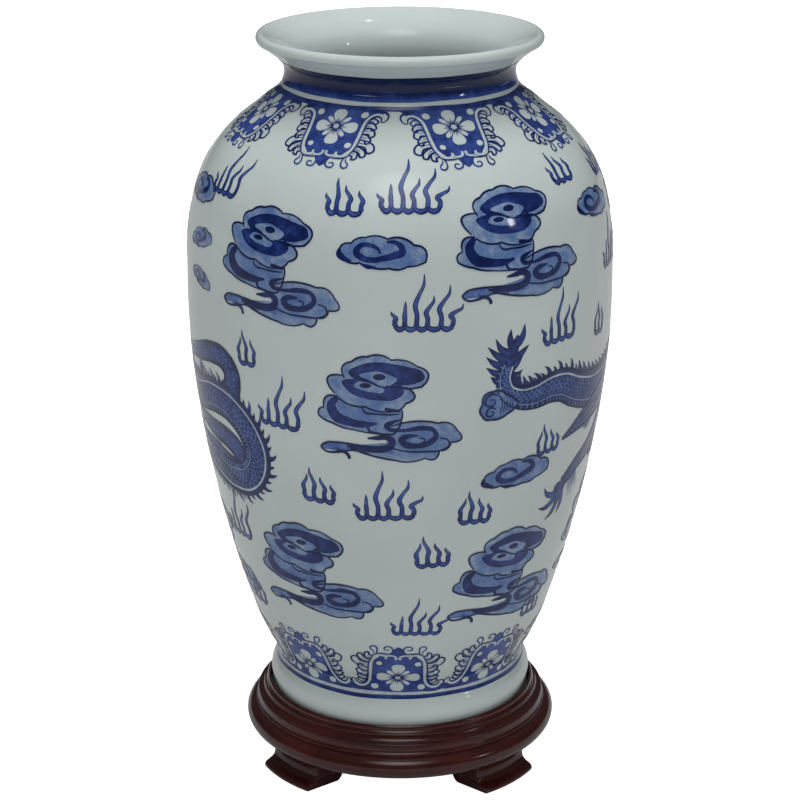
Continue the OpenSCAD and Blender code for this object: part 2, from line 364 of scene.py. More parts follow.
def ruyi_cloud(line=0.45):
    """A two-part cloud: a lobed head with two eyes over a lobed body, and a
    scrolled tail that runs out to a streak on the left."""
    head = scallops(
        [(-15.5, 11.5), (-11.8, 20.2), (-4.2, 23), (7.4, 21.6), (19.7, 18.4), (22, 8), (13, 7.2)],
        [0.34, 0.12, 0.16, 0.12, 0.42, 0.05, 0.0])
    middle = scallops(
        [(-20.5, 3), (-15.5, 12.8), (15, 7.4), (14, -0.8), (11.8, -3.6), (-5.5, -2.6)],
        [0.62, 0.0, 0.5, 0.05, 0.12, 0.14])
    lower = scallops(
        [(-26.3, -4.6), (-19, 1.6), (12, -3.5), (11.9, -9.5), (8, -17), (-11.5, -15.4),
         (-22, -12.6), (-28.8, -9.5)],
        [0.36, 0.0, 0.1, 0.1, 0.03, 0.05, 0.06, 0.3])
    tail = scallops(
        [(7, -12.8), (30, -11.6), (39.3, -16), (36.3, -22.3), (30.4, -26.4), (23.2, -30.2),
         (9, -31.2), (-13, -25.6), (-12, -23.8), (4, -23.4)],
        [0.09, 0.2, 0.6, 0.22, 0.36, 0.1, 0.03, 0.0, 0.0, 0.0])
    streak = [(8, -26.5), (-4, -25.6), (-14, -25), (-22, -25.4), (-27.6, -26)]
    head_dark = smooth_line(
        [(-13.6, 14.6), (-8.5, 18.4), (-1, 20.4), (8, 19.8), (15, 18.2), (22, 15.8), (23.4, 12.4),
         (18, 9.4), (8, 9), (-4, 10.6), (-11, 11.6)], 4, True)
    middle_dark = smooth_line(
        [(-17, 9.6), (-10, 11.6), (2, 10.5), (12, 9), (13.4, 5), (9.5, 1.6), (1, 0.8),
         (-7, 1.8), (-13, 4.4)], 4, True)
    eye = smooth_line(
        [(-8.3, 13.6), (-3.5, 15.2), (1, 15.8), (6, 14.3), (10.2, 11.8), (7.6, 9.2), (2.8, 8.2),
         (-1.5, 10.2), (-5.5, 11.6)], 3, True)
    low_eye = smooth_line(
        [(-11, 8), (-8.6, 10.2), (-4, 9.8), (1, 7.9), (4, 6.6), (3, 5), (-2, 5), (-7.5, 6)], 3, True)
    thin = [line * 0.7, line, line * 1.15, line, line * 0.8]
    return join([
        wash(tail, 0.46, 0, -0.1, 5, (18, -20)),
        stroke(streak, [1.2, 1.5, 1.9, 2.4, 1.2], 0.48, 0, 5, 2, 0.1),
        wash(lower, 0.46, 0.5, -0.08, 4, (-4, -8)),
        wash(middle, 0.46, 1, -0.1, 4, (-2, 4)),
        wash(head, 0.44, 1.5, -0.08, 4, (2, 14)),
        wash(middle_dark, 0.78, 2, 0.08, 3),
        wash(head_dark, 0.82, 2.5, 0.08, 3),
        wash(eye, 0.36, 3, 0.04, 3),
        wash(low_eye, 0.36, 3, 0.04, 3),
        blob(1.5, 12.9, 3.1, 1.6, 0.93, 3.5),
        blob(-5.2, 8.3, 2.9, 1.25, 0.93, 3.5),
        stroke([(-8.5, 12.4), (-4, 11), (-1, 9.2), (3.5, 7.7), (6, 7.9)], [0.2, 0.5, 0.4, 0.4, 0.1], 0.95, 4),
        stroke([(-19.4, 1.2), (-22.4, -3), (-20.6, -8.4), (-13, -11.4), (-5, -12.2), (0.5, -11.4)],
               [1.2, 2.5, 2.8, 2.1, 1.8, 0.5], 0.9, 2.5, 6, 4),
        stroke([(-7.2, -2.8), (-6, -5.4), (0, -6.4), (6, -6.6), (11.4, -6.2)], [0.3, 0.5, 0.4, 0.5, 0.2],
               0.95, 3),
        stroke([(4, -3.6), (8.5, -4.4), (11.6, -4.6)], [0.9, 0.9, 0.5], 0.93, 3),
        stroke([(11.8, -9.2), (7, -11), (4.9, -12.6), (6.5, -14.6), (10.5, -14.2)],
               [0.3, 0.8, 1.5, 1.1, 0.4], 0.93, 3),
        stroke([(-4.4, -13.4), (-3.6, -15.4), (2, -16.6)], [0.9, 0.6, 0.3], 0.9, 3),
        stroke([(8, -15.4), (15, -14.7), (22, -13.9), (27.4, -15), (28.9, -18), (25.6, -21.8), (19, -23.2),
                (13.6, -22.4), (11.9, -20.1), (14.4, -18.3), (20, -17.7)],
               [0.5, 0.8, 1.2, 1.2, 1.1, 1.5, 1.5, 1.6, 1.7, 1.3, 0.3], 0.9, 3, 5),
        blob(19, -20.3, 3.9, 1.7, 0.42, 3.6),
        stroke([(20.5, -19), (23.2, -20), (22.4, -21.8), (18, -22.2)], [0.3, 0.4, 0.4, 0.2], 0.93, 4),
        stroke([(-4.6, -19.6), (0, -19.2), (5, -18.8), (7.4, -20.6), (6.4, -23.6), (2, -25.2), (-6, -25.4),
                (-15, -24.4)], [0.4, 1.3, 1.6, 1.9, 1.9, 1.4, 1.0, 0.5], 0.92, 3, 5),
        stroke([(7.4, -24.6), (14, -26.3), (24, -26.6), (31.6, -26.2), (35.4, -23.8), (34.6, -21),
                (30.8, -19.6)],
               thin, 0.9, 3),
        stroke(head[:-4], thin * 2, 0.97, 4.4, plain=True),
        stroke(middle[:8], thin, 0.97, 4.4, plain=True),
        stroke(middle[13:], thin * 2, 0.97, 4.2, plain=True),
        stroke(lower[:8], thin, 0.97, 4.4, plain=True),
        stroke(np.vstack([lower[14:28], lower[28:], lower[:1]]), thin * 2, 0.97, 4.2, plain=True),
        stroke(tail[:52], thin * 3, 0.97, 4.4, plain=True),
        stroke([(6, -23.9), (-4, -24), (-12, -23.3), (-20, -22.9), (-26, -23.8), (-28.2, -26), (-26, -28.2),
                (-20.5, -28.3), (-17, -27.6), (-14.6, -29), (-13.6, -31.4)],
               [0.3, 0.5, 0.5, 0.5, 0.5, 0.5, 0.5, 0.5, 0.6, 0.9, 0.8], 0.95, 4.4, 4),
        stroke([(-20, -25.6), (-19, -27), (-12, -26.6), (-4, -27.8)], [0.2, 0.4, 0.4, 0.2], 0.93, 4),
    ])


def small_cloud(line=0.5):
    """A flat cloud of eight lobes with one thick spiral in it."""
    edge = scallops(
        [(-21, -1.5), (-15, 4.2), (-8.2, 7.1), (2.4, 6.7), (15, 3.8), (20.6, -4.4), (12, -6.4),
         (3.5, -7.2), (-10.8, -5)],
        [0.28, 0.14, 0.12, 0.16, 0.32, 0.06, 0.12, 0.08, 0.16])
    return join([
        wash(edge, 0.46, 0, -0.08, 4, (0, 0)),
        stroke([(2, 5.4), (6, 5.2), (8.6, 3.6), (9.6, 0.6), (6, -1), (1, -2.4), (-4, -3.4), (-9.5, -2.6),
                (-12.6, 0.3), (-10.4, 3.2), (-5.5, 3.6), (-2, 1.8), (-0.8, -0.2)],
               [0.5, 1, 1.5, 1.9, 1.6, 1.4, 1.3, 1.5, 1.7, 1.3, 1.1, 0.9, 0.5], 0.86, 2, 5),
        stroke([(-20.6, 1.4), (-21, -1), (-18.5, -3.2), (-15, -4.4)], [0.6, 1.7, 1.4, 0.5], 0.85, 2),
        stroke([(-10.2, -5.4), (-7, -6.6), (-3, -6.8)], [0.5, 1.2, 0.5], 0.85, 2),
        blob(-6.3, 0.5, 3.2, 1.7, 0.4, 3),
        rim(edge, [line, line * 0.7, line * 1.2, line * 0.8, line * 1.2, line], 0.95),
    ])


# Tongues of fire: place along the base, height and lean of the tip
TALL_FIRE = [(-15.8, 5.5, -1.8), (-11.2, 10.5, 0.2), (-5.6, 24, 3.4), (-0.4, 13.5, 3), (6.2, 18.5, 4.2),
             (12, 9, 5)]
LOW_FIRE = [(-7, 6.5, -1.6), (-2.6, 14.5, -1), (3.4, 11, -2.6), (9.6, 8.5, -2)]
SHORT_FIRE = [(-6.5, 11, 1.8), (-1, 15, -2.2), (4.6, 10.5, -2), (9.4, 7, -1.4)]


def fire(tongues, ink=0.76):
    """A row of tapering tongues that stand on a chain of shallow scallops."""
    parts = []
    for x, height, lean in tongues:
        bend = [(x, -1.6), (x + 0.05 * lean, 0.16 * height), (x - 0.22 * lean, 0.36 * height),
                (x + 0.3 * lean, 0.58 * height), (x + 0.92 * lean, 0.78 * height), (x + lean, height)]
        core = [ink, ink - 0.06, ink - 0.2, ink - 0.1]
        parts.append(stroke(bend, [1.3, 1.15, 1.25, 0.95, 0.8, 0.2], ink + 0.12, 1, 9, 2, 0.1))
        parts.append(stroke(bend, [0.95, 0.8, 0.85, 0.6, 0.42, 0.04], core, 2.4, 9, 2, 0.08))
    for (x, _, _), (x2, _, _) in zip(tongues, tongues[1:]):
        middle = (x + x2) / 2
        parts.append(stroke([(x, -0.4), (x + 0.7, -2.3), (middle, -3.3), (x2 - 0.7, -2.5), (x2, -0.6)],
                            [1.0, 1.25, 1.5, 1.25, 1.0], ink + 0.1, 2, 4, 2, 0.08))
        parts.append(stroke([(x + 0.4, -2.1), (middle, -3.3), (x2 - 0.4, -2.2)], [0.4, 0.85, 0.4], ink - 0.08,
                            2.7, 4))
    return join(parts)


def leaf_loop(base, out, back, girth, line=0.42):
    """A feathery lappet leaf: a looped line from the lappet's edge out to a
    round tip and back, over a pale wash."""
    base, out, back = (np.asarray(v, float) for v in (base, out, back))
    ahead = out - (base + back) / 2
    ahead = ahead / np.hypot(*ahead)
    side = np.array([-ahead[1], ahead[0]])
    if np.dot(side, base - back) < 0:
        side = -side
    bow = side * 0.55 * girth
    tip = out - side * 0.7 * girth
    loop = [base, (base + out) / 2 + side * girth * 0.6 + bow, out - ahead * 0.4 * girth + side * girth * 0.9,
            tip + ahead * 0.5 * girth + side * 0.2 * girth, tip - ahead * 0.5 * girth - side * girth * 0.9,
            (back + tip) / 2 - side * girth * 0.25 + bow, back]
    vein = (base + back) / 2, (base + back + out + tip) / 4 + bow, tip * 0.6 + (base + back) * 0.2 + bow
    pale = (base + back) / 2, (out + back) / 2 + bow, tip
    return [stroke(pale, [girth * 0.5, girth * 0.85, girth * 0.7], 0.05, 1, 5),
            stroke(vein, [line * 0.7, line * 0.5, line * 0.1], 0.74, 2.5, 3),
            stroke(loop, [line * 0.8, line, line * 1.2, line * 1.3, line], 0.84, 3, 5)]


def lappet():
    """A pendant lappet: a cobalt ground with a flower of four large petals and
    four small ones, white dots, a white ogee border that curls out at its top,
    and leaves all round."""
    ground = [(0, 17), (0, 14), (0, 12.6), (0, 8), (0, 0), (0, -8), (0, -12), (0, -14)]
    parts = [stroke(ground, [24, 20.5, 14.8, 13.8, 13.5, 13.3, 12.2, 8.6], 0.7, 0, 4, 20, 0.06)]
    parts.append(wash([(-4.4, -13.6), (-3, -17.5), (-2.2, -18.6), (0, -20.4), (2.4, -18.8), (3, -17.5),
                       (4.4, -13.6)], 0.7, 0, 0.08, 2, (0, -16)))
    heart = np.array([0.2, 4])
    petal = smooth_line([(0, 1.4), (-1.5, 3.4), (-3.0, 6.0), (-3.3, 8.2), (-2, 9.8), (0, 10.1), (2, 9.8),
                         (3.3, 8.2), (3.0, 6.0), (1.5, 3.4)], 3, True)
    for turn, reach, girth in ((46, 0.8, 0.34), (137, 0.78, 0.36), (224, 0.78, 0.34), (316, 0.82, 0.34),
                               (3, 1.06, 1.02), (92, 1.06, 1.0), (181, 1.08, 1.02), (268, 1.1, 0.98)):
        c, n = math.cos(math.radians(turn)), math.sin(math.radians(turn))
        x, y = petal[:, 0] * girth, petal[:, 1] * reach
        parts.append(wash(np.stack([c * x - n * y, n * x + c * y], 1) + heart, 0.02, 2.5, 0.04, 3))
        for spread, share in ((-15, 0.5), (0, 0.64), (15, 0.5)) if girth > 0.5 else ((0, 0.55),):
            a = math.radians(turn + 90 + spread)
            ahead = np.array([math.cos(a), math.sin(a)]) * 9 * share
            vein = [ahead * at + heart for at in (0.34, 0.66, 1)]
            parts.append(stroke(vein, [0.3, 0.3, 0.08], 0.84, 3.4, 4))
    for x, y, size in ((-11.4, 12, 1.9), (12.2, 12, 1.9), (-9.4, -7.6, 1.5), (10.2, -7.2, 1.7)):
        parts.append(blob(x, y, size, size, 0.03, 3))
    parts.append(blob(*heart, 1.95, 1.95, 0.84, 4.4))
    parts.append(blob(*heart, 1.5, 1.5, 0.1, 4.8))
    half = [
        stroke([(-6.1, -11.4), (-6.2, -13), (-8.2, -14.1), (-11, -13.2), (-12.9, -10), (-13.5, -4), (-13.7, 3),
                (-14.3, 8.5), (-16, 11.6), (-18.8, 12.6), (-21.4, 11.4), (-22.6, 9)],
               [0.6, 0.62, 0.6, 0.6, 0.6, 0.56, 0.6, 0.64, 0.66, 0.66, 0.6, 0.4], 0.08, 3, 5),
        stroke([(-0.9, -10.9), (-1.1, -12.8), (-2.8, -13.9), (-5, -13.7), (-6, -12.6)],
               [0.65, 0.65, 0.55, 0.5, 0.3], 0.12, 3, 5),
        stroke([(-12.8, -13.2), (-14.4, -9), (-15, -2), (-15.1, 4), (-15.7, 8.4), (-17.2, 10.6), (-19, 11.2),
                (-20.8, 10.2), (-21.4, 8)], [0.3, 0.4, 0.4, 0.4, 0.45, 0.5, 0.5, 0.5, 0.3], 0.8, 3.4, 5),
        stroke([(-13.5, 14.6), (-17.5, 14.9), (-21, 14.2), (-23.6, 12.2), (-24, 9.4), (-22.6, 7.6),
                (-21.2, 8.2)],
               [0.4, 0.6, 0.7, 0.6, 0.45, 0.4, 0.3], 0.85, 3.2, 5),
        stroke([(-13.6, -12.9), (-11, -14.9), (-7.6, -15.3), (-3.8, -15)], [0.3, 0.4, 0.45, 0.3], 0.8, 3.4),
        stroke([(-10.9, -15), (-10.6, -17.4), (-10.8, -19.2), (-12.4, -20.6), (-14, -19.9), (-13.9, -18.2),
                (-12.6, -17), (-12.2, -15.3)], [0.35, 0.4, 0.45, 0.45, 0.4, 0.4, 0.35, 0.3], 0.72, 3, 5),
        stroke([(-3.9, -15.2), (-2.8, -17), (-3, -19.4), (-4.8, -20.6), (-6.7, -20.1), (-7, -18.5),
                (-5.6, -17.8), (-4.4, -18.6)], [0.35, 0.4, 0.45, 0.45, 0.4, 0.4, 0.35, 0.2], 0.72, 3, 5),
    ]
    for base, out, back, girth in (
            ((-15.8, 8.6), (-19.6, 8.2), (-15.4, 6.6), 1.25), ((-15.6, 6.4), (-20, 4.4), (-15.4, 3.2), 1.3),
            ((-15.4, 4), (-20.6, 0.2), (-15.2, 0), 1.5), ((-15.3, 0), (-20, -4.4), (-15, -3.4), 1.2),
            ((-15, -3.4), (-23.4, -9.4), (-14.8, -7), 1.7), ((-14.6, -7.4), (-20.4, -12.8), (-14, -10.4), 1.1),
            ((-13.8, -10.2), (-16.6, -14), (-12.8, -13.2), 1.4)):
        half += leaf_loop(base, out, back, girth)
    parts += half + [mirrored(m) for m in half]
    return join(parts)


def sown(line, half, runs, share, template, turn_over=False):
    """One small motif repeated along a line: at each given distance along it,
    a share of the half width to its left, turned with the line."""
    run = run_of(line)
    tangent, side = sides_of(line)
    at = [np.stack([np.interp(runs, run, a[:, k]) for k in (0, 1)], 1) for a in (line, tangent, side)]
    width = np.interp(runs, np.linspace(0, run[-1], len(half)), half)
    p, ink, layer, faces = mirrored(upended(template)) if turn_over else template
    place = at[0] + at[2] * (width * share)[:, None]
    points = place[:, None] + at[1][:, None] * p[None, :, :1] + at[2][:, None] * p[None, :, 1:]
    count = len(runs)
    faces = (faces[None] + (np.arange(count) * len(p))[:, None, None]).reshape(-1, 3)
    return points.reshape(-1, 2), np.tile(ink, count), np.tile(layer, count), faces


def beside(line, half, share):
    """A line a share of the half width to the left of another."""
    run = run_of(line)
    width = np.interp(run, np.linspace(0, run[-1], len(half)), half)
    return line + sides_of(line)[1] * (width * share)[:, None]


# How far apart things come along a dragon's body or leg
BODY_PITCH, LEG_PITCH = 2.4, 2.0
FIN_PITCH, RIB_PITCH, SCALE_PITCH, LEG_SCALE_PITCH = 6.4, 2.9, 3.4, 3.1


def serpent(points, half, spine=1):
    """A scaled body: a wash with darker edges, rows of pale crescents on it,
    a pale line under the fins, ribs along the belly and leaning fins. The
    spine is on the left of the line where spine is 1, on the right at -1."""
    line = evenly(smooth_line(points, 12), BODY_PITCH)
    length = run_of(line)[-1]
    scale = stroke([(-1.0, -1.5), (0.5, -0.9), (1.0, 0), (0.5, 0.9), (-1.0, 1.5)], [0.1, 0.22, 0.28, 0.22, 0.1],
                   0.5, 2.5, 2, 1)
    fin = stroke([(1.0, -0.6), (0.6, 1.8), (-0.6, 3.8),
                  (-2.4, 5.2)], [1.7, 1.3, 0.75, 0.12], [0.9, 0.8], 1, 3, 2)
    spur = stroke([(0.8, -0.6), (0.6, 1.2), (0, 2.2), (-1.0, 3.0)], [1.3, 1.0, 0.6, 0.12], [0.9, 0.8], 1, 3, 2)
    rib = stroke([(-0.2, -1.0), (0.3, 0), (0, 1.1)], [0.22, 0.28, 0.16], 0.4, 3, 2, 1)
    parts = [
        stroke(line, half, 0.8, 0, across=8, edge=0.1, plain=True),
        sown(line, half, np.arange(3, length - 1, FIN_PITCH), 0.96 * spine, fin, spine < 0),
        sown(line, half, np.arange(6.2, length - 1, FIN_PITCH), 0.96 * spine, spur, spine < 0),
        stroke(beside(line, half, 0.98 * spine), [0.45, 0.6, 0.5, 0.6], 0.97, 3, plain=True),
        stroke(beside(line, half, 0.66 * spine), [0.42, 0.55, 0.42], 0.16, 3, plain=True),
        stroke(beside(line, half, -0.98 * spine), [0.4, 0.5, 0.45, 0.5], 0.97, 3, plain=True),
        stroke(beside(line, half, -0.58 * spine), [0.22, 0.3, 0.24], 0.36, 3, plain=True),
        sown(line, half, np.arange(1.5, length - 1, RIB_PITCH), -0.78 * spine, rib),
    ]
    for row, share in enumerate((0.44, 0.2, -0.04, -0.28)):
        runs = np.arange(1.4 + (row % 2) * SCALE_PITCH / 2, length - 2, SCALE_PITCH)
        parts.append(sown(line, half, runs, share * spine, scale))
    return join(parts)


def limb(points, half):
    """A dragon's leg: a scaled wash between two dark lines."""
    line = evenly(smooth_line(points, 10), LEG_PITCH)
    length = run_of(line)[-1]
    scale = stroke([(-0.9, -1.2), (0.8, 0), (-0.9, 1.2)], [0.12, 0.26, 0.12], 0.48, 2.5, 3, 1)
    return join([
        stroke(line, half, 0.78, 0.6, across=6, edge=0.1, plain=True),
        stroke(beside(line, half, 1), [0.4, 0.55, 0.4], 0.97, 3, plain=True),
        stroke(beside(line, half, -1), [0.4, 0.5, 0.4], 0.97, 3, plain=True),
        sown(line, half, np.arange(2, length - 1, LEG_SCALE_PITCH), 0.4, scale),
        sown(line, half, np.arange(3.5, length - 1, LEG_SCALE_PITCH), -0.3, scale),
    ])


def fan(x, y, length, start, end, count, girth=1.1, curl=0.25, ink=0.8, layer=1):
    """Tapered strokes that spread from one place, between two angles in
    degrees, the middle ones longest, each bowed by curl of its length."""
    parts = []
    for k, a in enumerate(np.radians(np.linspace(start, end, count))):
        reach = length * (1 - 0.3 * abs(2 * k / max(count - 1, 1) - 1)) * (1 - 0.13 * (k % 2))
        ahead, aside = np.array([math.cos(a), math.sin(a)]), np.array([-math.sin(a), math.cos(a)])
        parts.append(stroke(
            [(x, y), (x, y) + ahead * reach * 0.35 + aside * reach * curl * 0.3,
             (x, y) + ahead * reach * 0.7 + aside * reach * curl * 0.35, (x, y) + ahead * reach],
            [girth, girth * 0.95, girth * 0.7, 0.12], [ink, ink - 0.12, ink], layer, 5, 2, 0.1))
    return parts


def claw(x, y, aim, size=1.0):
    """A foot of four hooked talons and a pad, pointing at an angle."""
    parts = [blob(x, y, 3.6 * size, 3.1 * size, 0.74, 1, 0, 0.1, 0.1)]
    for spread, reach in ((-58, 9.5), (-20, 11.5), (18, 11.5), (56, 9.5)):
        a = math.radians(aim + spread)
        ahead, aside = np.array([math.cos(a), math.sin(a)]), np.array([math.sin(a), -math.cos(a)])
        base = np.array([x, y])
        parts.append(stroke(
            [base, base + ahead * reach * 0.45 * size - aside * 1.2 * size, base + ahead * reach * 0.8 * size,
             base + ahead * reach * size + aside * 2.6 * size], [1.5 * size, 1.35 * size, 1.0 * size, 0.12],
            [0.78, 0.7, 0.92], 1.5, 6, 2, 0.12))
    return parts


def scattered(draw, rows):
    """What a function draws at each of a list of places on the wall, given as
    degrees from the front, distance along the wall and its other settings."""
    return [part for angle, run, *rest in rows for part in draw(*at_place(angle, run), *rest)]


def dragon_head():
    """A long-jawed dragon's head in profile, facing right: swept horns, a
    bristling mane, a bearded jaw and two trailing whiskers."""
    skull = smooth_line([(-11, -6), (-12.5, 1), (-8.5, 7.5), (-1.5, 9.8), (5, 8), (11, 6.4), (16, 8.6),
                         (20.5, 7.6), (22.4, 3.6), (19.5, 0.6), (12, 0.2), (6.5, -1.4), (-2, -4.5)], 4, True)
    jaw = smooth_line([(-6, -4), (3, -3.4), (9, -5.2), (15, -5.4), (17.5, -3.8), (18.4, -6.4), (14, -9.2),
                       (5, -10), (-5, -9.4), (-10, -6.6)], 4, True)
    parts = fan(-9, 2, 25, 128, 232, 13, 1.4, 0.22, 0.82, 0.4)
    parts += fan(2, -9, 12, 215, 300, 7, 0.9, -0.2, 0.8, 0.5)
    parts += [
        wash(jaw, 0.72, 1, 0.1, 3, (3, -7)),
        wash(skull, 0.66, 1, 0.14, 4, (2, 3)),
        rim(skull, [0.5, 0.6, 0.45, 0.6, 0.5]),
        rim(jaw, [0.45, 0.55, 0.45]),
        stroke([(-5, 8.6), (-12, 13), (-20, 13.4), (-28, 17.5)], [1.5, 1.5, 1.1, 0.15], 0.9, 2, 7, 2, 0.1),
        stroke([(-2, 9.4), (-8, 16), (-15, 18), (-21, 23.5)], [1.4, 1.3, 1.0, 0.15], 0.88, 2.5, 7, 2, 0.1),
        blob(2.6, 4.6, 2.8, 2.3, 0.06, 3),
        blob(3.1, 4.4, 1.3, 1.3, 0.97, 4),
        stroke([(-2.5, 6.2), (1, 8.2), (5, 7.8), (8, 5.8)], [0.5, 0.9, 0.8, 0.3], 0.95, 4.5),
        stroke([(15, 4.6), (17.6, 6.4), (20, 5.2), (18.6, 3.6)], [0.5, 0.7, 0.6, 0.3], 0.95, 4),
        stroke([(-8, 3.6), (-6, -0.4), (-1.6, -2), (2, -0.6)], [0.35, 0.5, 0.5, 0.3], 0.14, 3),
        stroke([(-3.5, 0.8), (3, 1.2), (10, 2.2), (14, 2.8)], [0.3, 0.45, 0.4, 0.2], 0.14, 3),
        stroke([(20.5, 3.4), (27, 6.6), (32, 2.4), (38, 4.6), (43, 1.2)], [0.6, 0.7, 0.6, 0.5, 0.1], 0.88, 2),
        stroke([(19.5, 1.2), (26, -3), (31, -0.6), (36, -5.6)], [0.6, 0.65, 0.55, 0.1], 0.88, 2),
    ]
    for x in np.linspace(7.5, 18, 5):
        parts.append(stroke([(x, 0.1), (x + 0.3, -1.3), (x + 0.1, -2.6)], [0.8, 0.55, 0.1], 0.04, 4.5, 3))
    return join(parts)


def pearl():
    """A round jewel with a spiral in it, in a wreath of flames."""
    parts = fan(0, 0, 25, 0, 342, 20, 1.5, 0.34, 0.74, 0)
    parts += [
        blob(0, 0, 10.6, 10.6, 0.04, 2),
        stroke(arc((0, 0), 9.6, 0, 360, 44), [0.55, 0.8, 0.5, 0.8, 0.55], 0.95, 3, plain=True),
        stroke([(7, 0), (5.4, 5.2), (0, 7), (-5.2, 4.2), (-5.8, -1), (-2.4, -4.4), (1.8, -3.6), (3, -0.4),
                (1, 1.6), (-1, 0.8)], [0.3, 0.9, 1.2, 1.2, 1.2, 1.1, 1.0, 0.8, 0.7, 0.5], 0.72, 3, 6),
    ]
    return join(parts)


def knot():
    """Two curled locks of hair where the tail leaves the body, with a pale
    tuft that runs back under it."""
    lock = scallops([(-7.2, 1.5), (-1, 6.8), (5.6, 3.4), (12, -3.6), (5, -7.4), (-4, -7.6), (-8, -4.6)],
                    [0.3, 0.16, 0.06, 0.1, 0.12, 0.2, 0.24])
    parts = [wash(lock, 0.44, 1, 0.1, 3, (0, -1)), rim(lock, [0.5, 0.65, 0.5], 0.95)]
    curl = np.array([(3.8, 1.6), (1, 3.6), (-2.8, 2.2), (-3.4, -1), (-0.8, -2.6), (1.6, -1.4), (1, 0.6),
                     (-0.8, 0.4)])
    for x, y, size in ((-2.2, 2, 1.0), (-3.4, -4, 0.72)):
        parts.append(stroke(curl * size + (x, y), [0.3, 0.6, 0.6, 0.55, 0.45, 0.2], 0.88, 3, 5))
    hair = np.array([(1, -6.4), (2.6, -3), (3.2, 0.4)])
    step = np.array([(1.6, 0.3), (1.6, 0.2), (1.5, -0.4)])
    for k in range(5):
        parts.append(stroke(hair + k * step, [0.2, 0.42, 0.15], 0.85, 3, 4))
    return join(parts)


def on_wall(path):
    """Places given as degrees from the front and distance along the wall, as
    the flat points in mm that the dragons are drawn in."""
    p = np.asarray(path, float)
    return np.stack([np.radians(p[:, 0]) * BELLY, p[:, 1]], 1)


def at_place(angle, run):
    """One such place."""
    return on_wall([(angle, run)])[0]


def shifted(motif, angle, run, tilt=0.0, size=1.0, flip=False):
    """A motif moved to a place among the dragons' flat points."""
    p, ink, layer, faces = mirrored(motif) if flip else motif
    c, s = math.cos(math.radians(tilt)) * size, math.sin(math.radians(tilt)) * size
    x, y = at_place(angle, run)
    return np.stack([x + c * p[:, 0] - s * p[:, 1], y + s * p[:, 0] + c * p[:, 1]], 1), ink, layer, faces


# Each leaf of the tail: its root, its middle and its tip on the wall
TAIL_LEAVES = [
    ((30.4, 227), (32.6, 231), (33.4, 237.5)), ((30, 226), (29, 230), (29.2, 236)),
    ((29.4, 223), (26.6, 226), (24.8, 232)), ((28.8, 220), (25.6, 223), (22.6, 228.5)),
    ((28.2, 217), (25, 219), (22.2, 223.5)), ((27.8, 213), (25, 214.5), (22.3, 218)),
    ((29.6, 220), (31.8, 222), (34.8, 226.5)), ((28.8, 215), (30.8, 217.5), (33, 221.5)),
    ((27.5, 209), (25.6, 210), (23.6, 213)),
]


def rising_dragon():
    """The dragon whose tail shows right of the front: a leafy tail stands up
    from a knot, the body runs right in waves and its head turns to the jewel."""
    body = on_wall([(28.6, 217.5), (27.6, 211), (28.8, 204), (32.6, 199.6), (38, 198.8), (43, 200.6),
                    (48, 200), (54, 195), (62, 190.5), (72, 190), (82, 195), (92, 202), (101, 211), (110, 222),
                    (120, 232), (130, 236), (138, 231), (144, 221), (150, 212)])
    half = [3.8, 5.0, 7.0, 8.4, 9.2, 9.8, 10.2, 10.4, 10.6, 10.6, 10.4, 10, 9.6, 9, 8.6, 8.2, 7.8, 7.2]
    hind = on_wall([(86, 182), (79, 167), (70, 155.5), (61, 149), (54.5, 142)])
    fore = on_wall([(112, 222), (119, 210), (117, 199), (110, 191), (104, 187)])
    low = on_wall([(92, 198), (88, 186), (92, 175), (100, 168), (107, 163)])
    fringe = on_wall([(79, 184), (70, 180), (60, 175), (50.5, 169)])
    leaves = [stroke(on_wall(leaf), [2.5, 2.1, 1.3, 0.12], [0.8, 0.74, 0.92], 0.5, 5, 2, 0.12)
              for leaf in TAIL_LEAVES]
    leaves.append(stroke(on_wall([(28.2, 206), (28, 213), (29, 221), (30.6, 228), (31.6, 232)]),
                         [4.6, 4.4, 3.6, 3.0, 1.2], 0.74, 0, 6, 4, 0.14))
    return join(
        leaves
        + [limb(fringe, [8.5, 7, 4.6, 0.4]), limb(hind, [9, 7.4, 5.6, 4.4, 3.2]), limb(fore, [8, 6.6, 5, 4, 3]),
           limb(low, [8, 6.6, 5, 4, 3])]
        + scattered(claw, [(53.6, 139, 236, 1.5), (101.5, 185.5, 205, 1.25), (109.5, 161, -30, 1.25)])
        + scattered(fan, [(68, 176, 15, 190, 240, 6, 1.0, 0.2, 0.8, 0.4),
                          (62, 150, 22, 240, 292, 7, 0.5, -0.2, 0.5, 0.4),
                          (115, 199, 14, -50, 40, 6, 1.1, 0.2, 0.82, 0.5)])
        + [serpent(body, half), shifted(knot(), 25.6, 198.6, 10, 1.0),
           shifted(dragon_head(), 156, 206, -22, 0.98)])


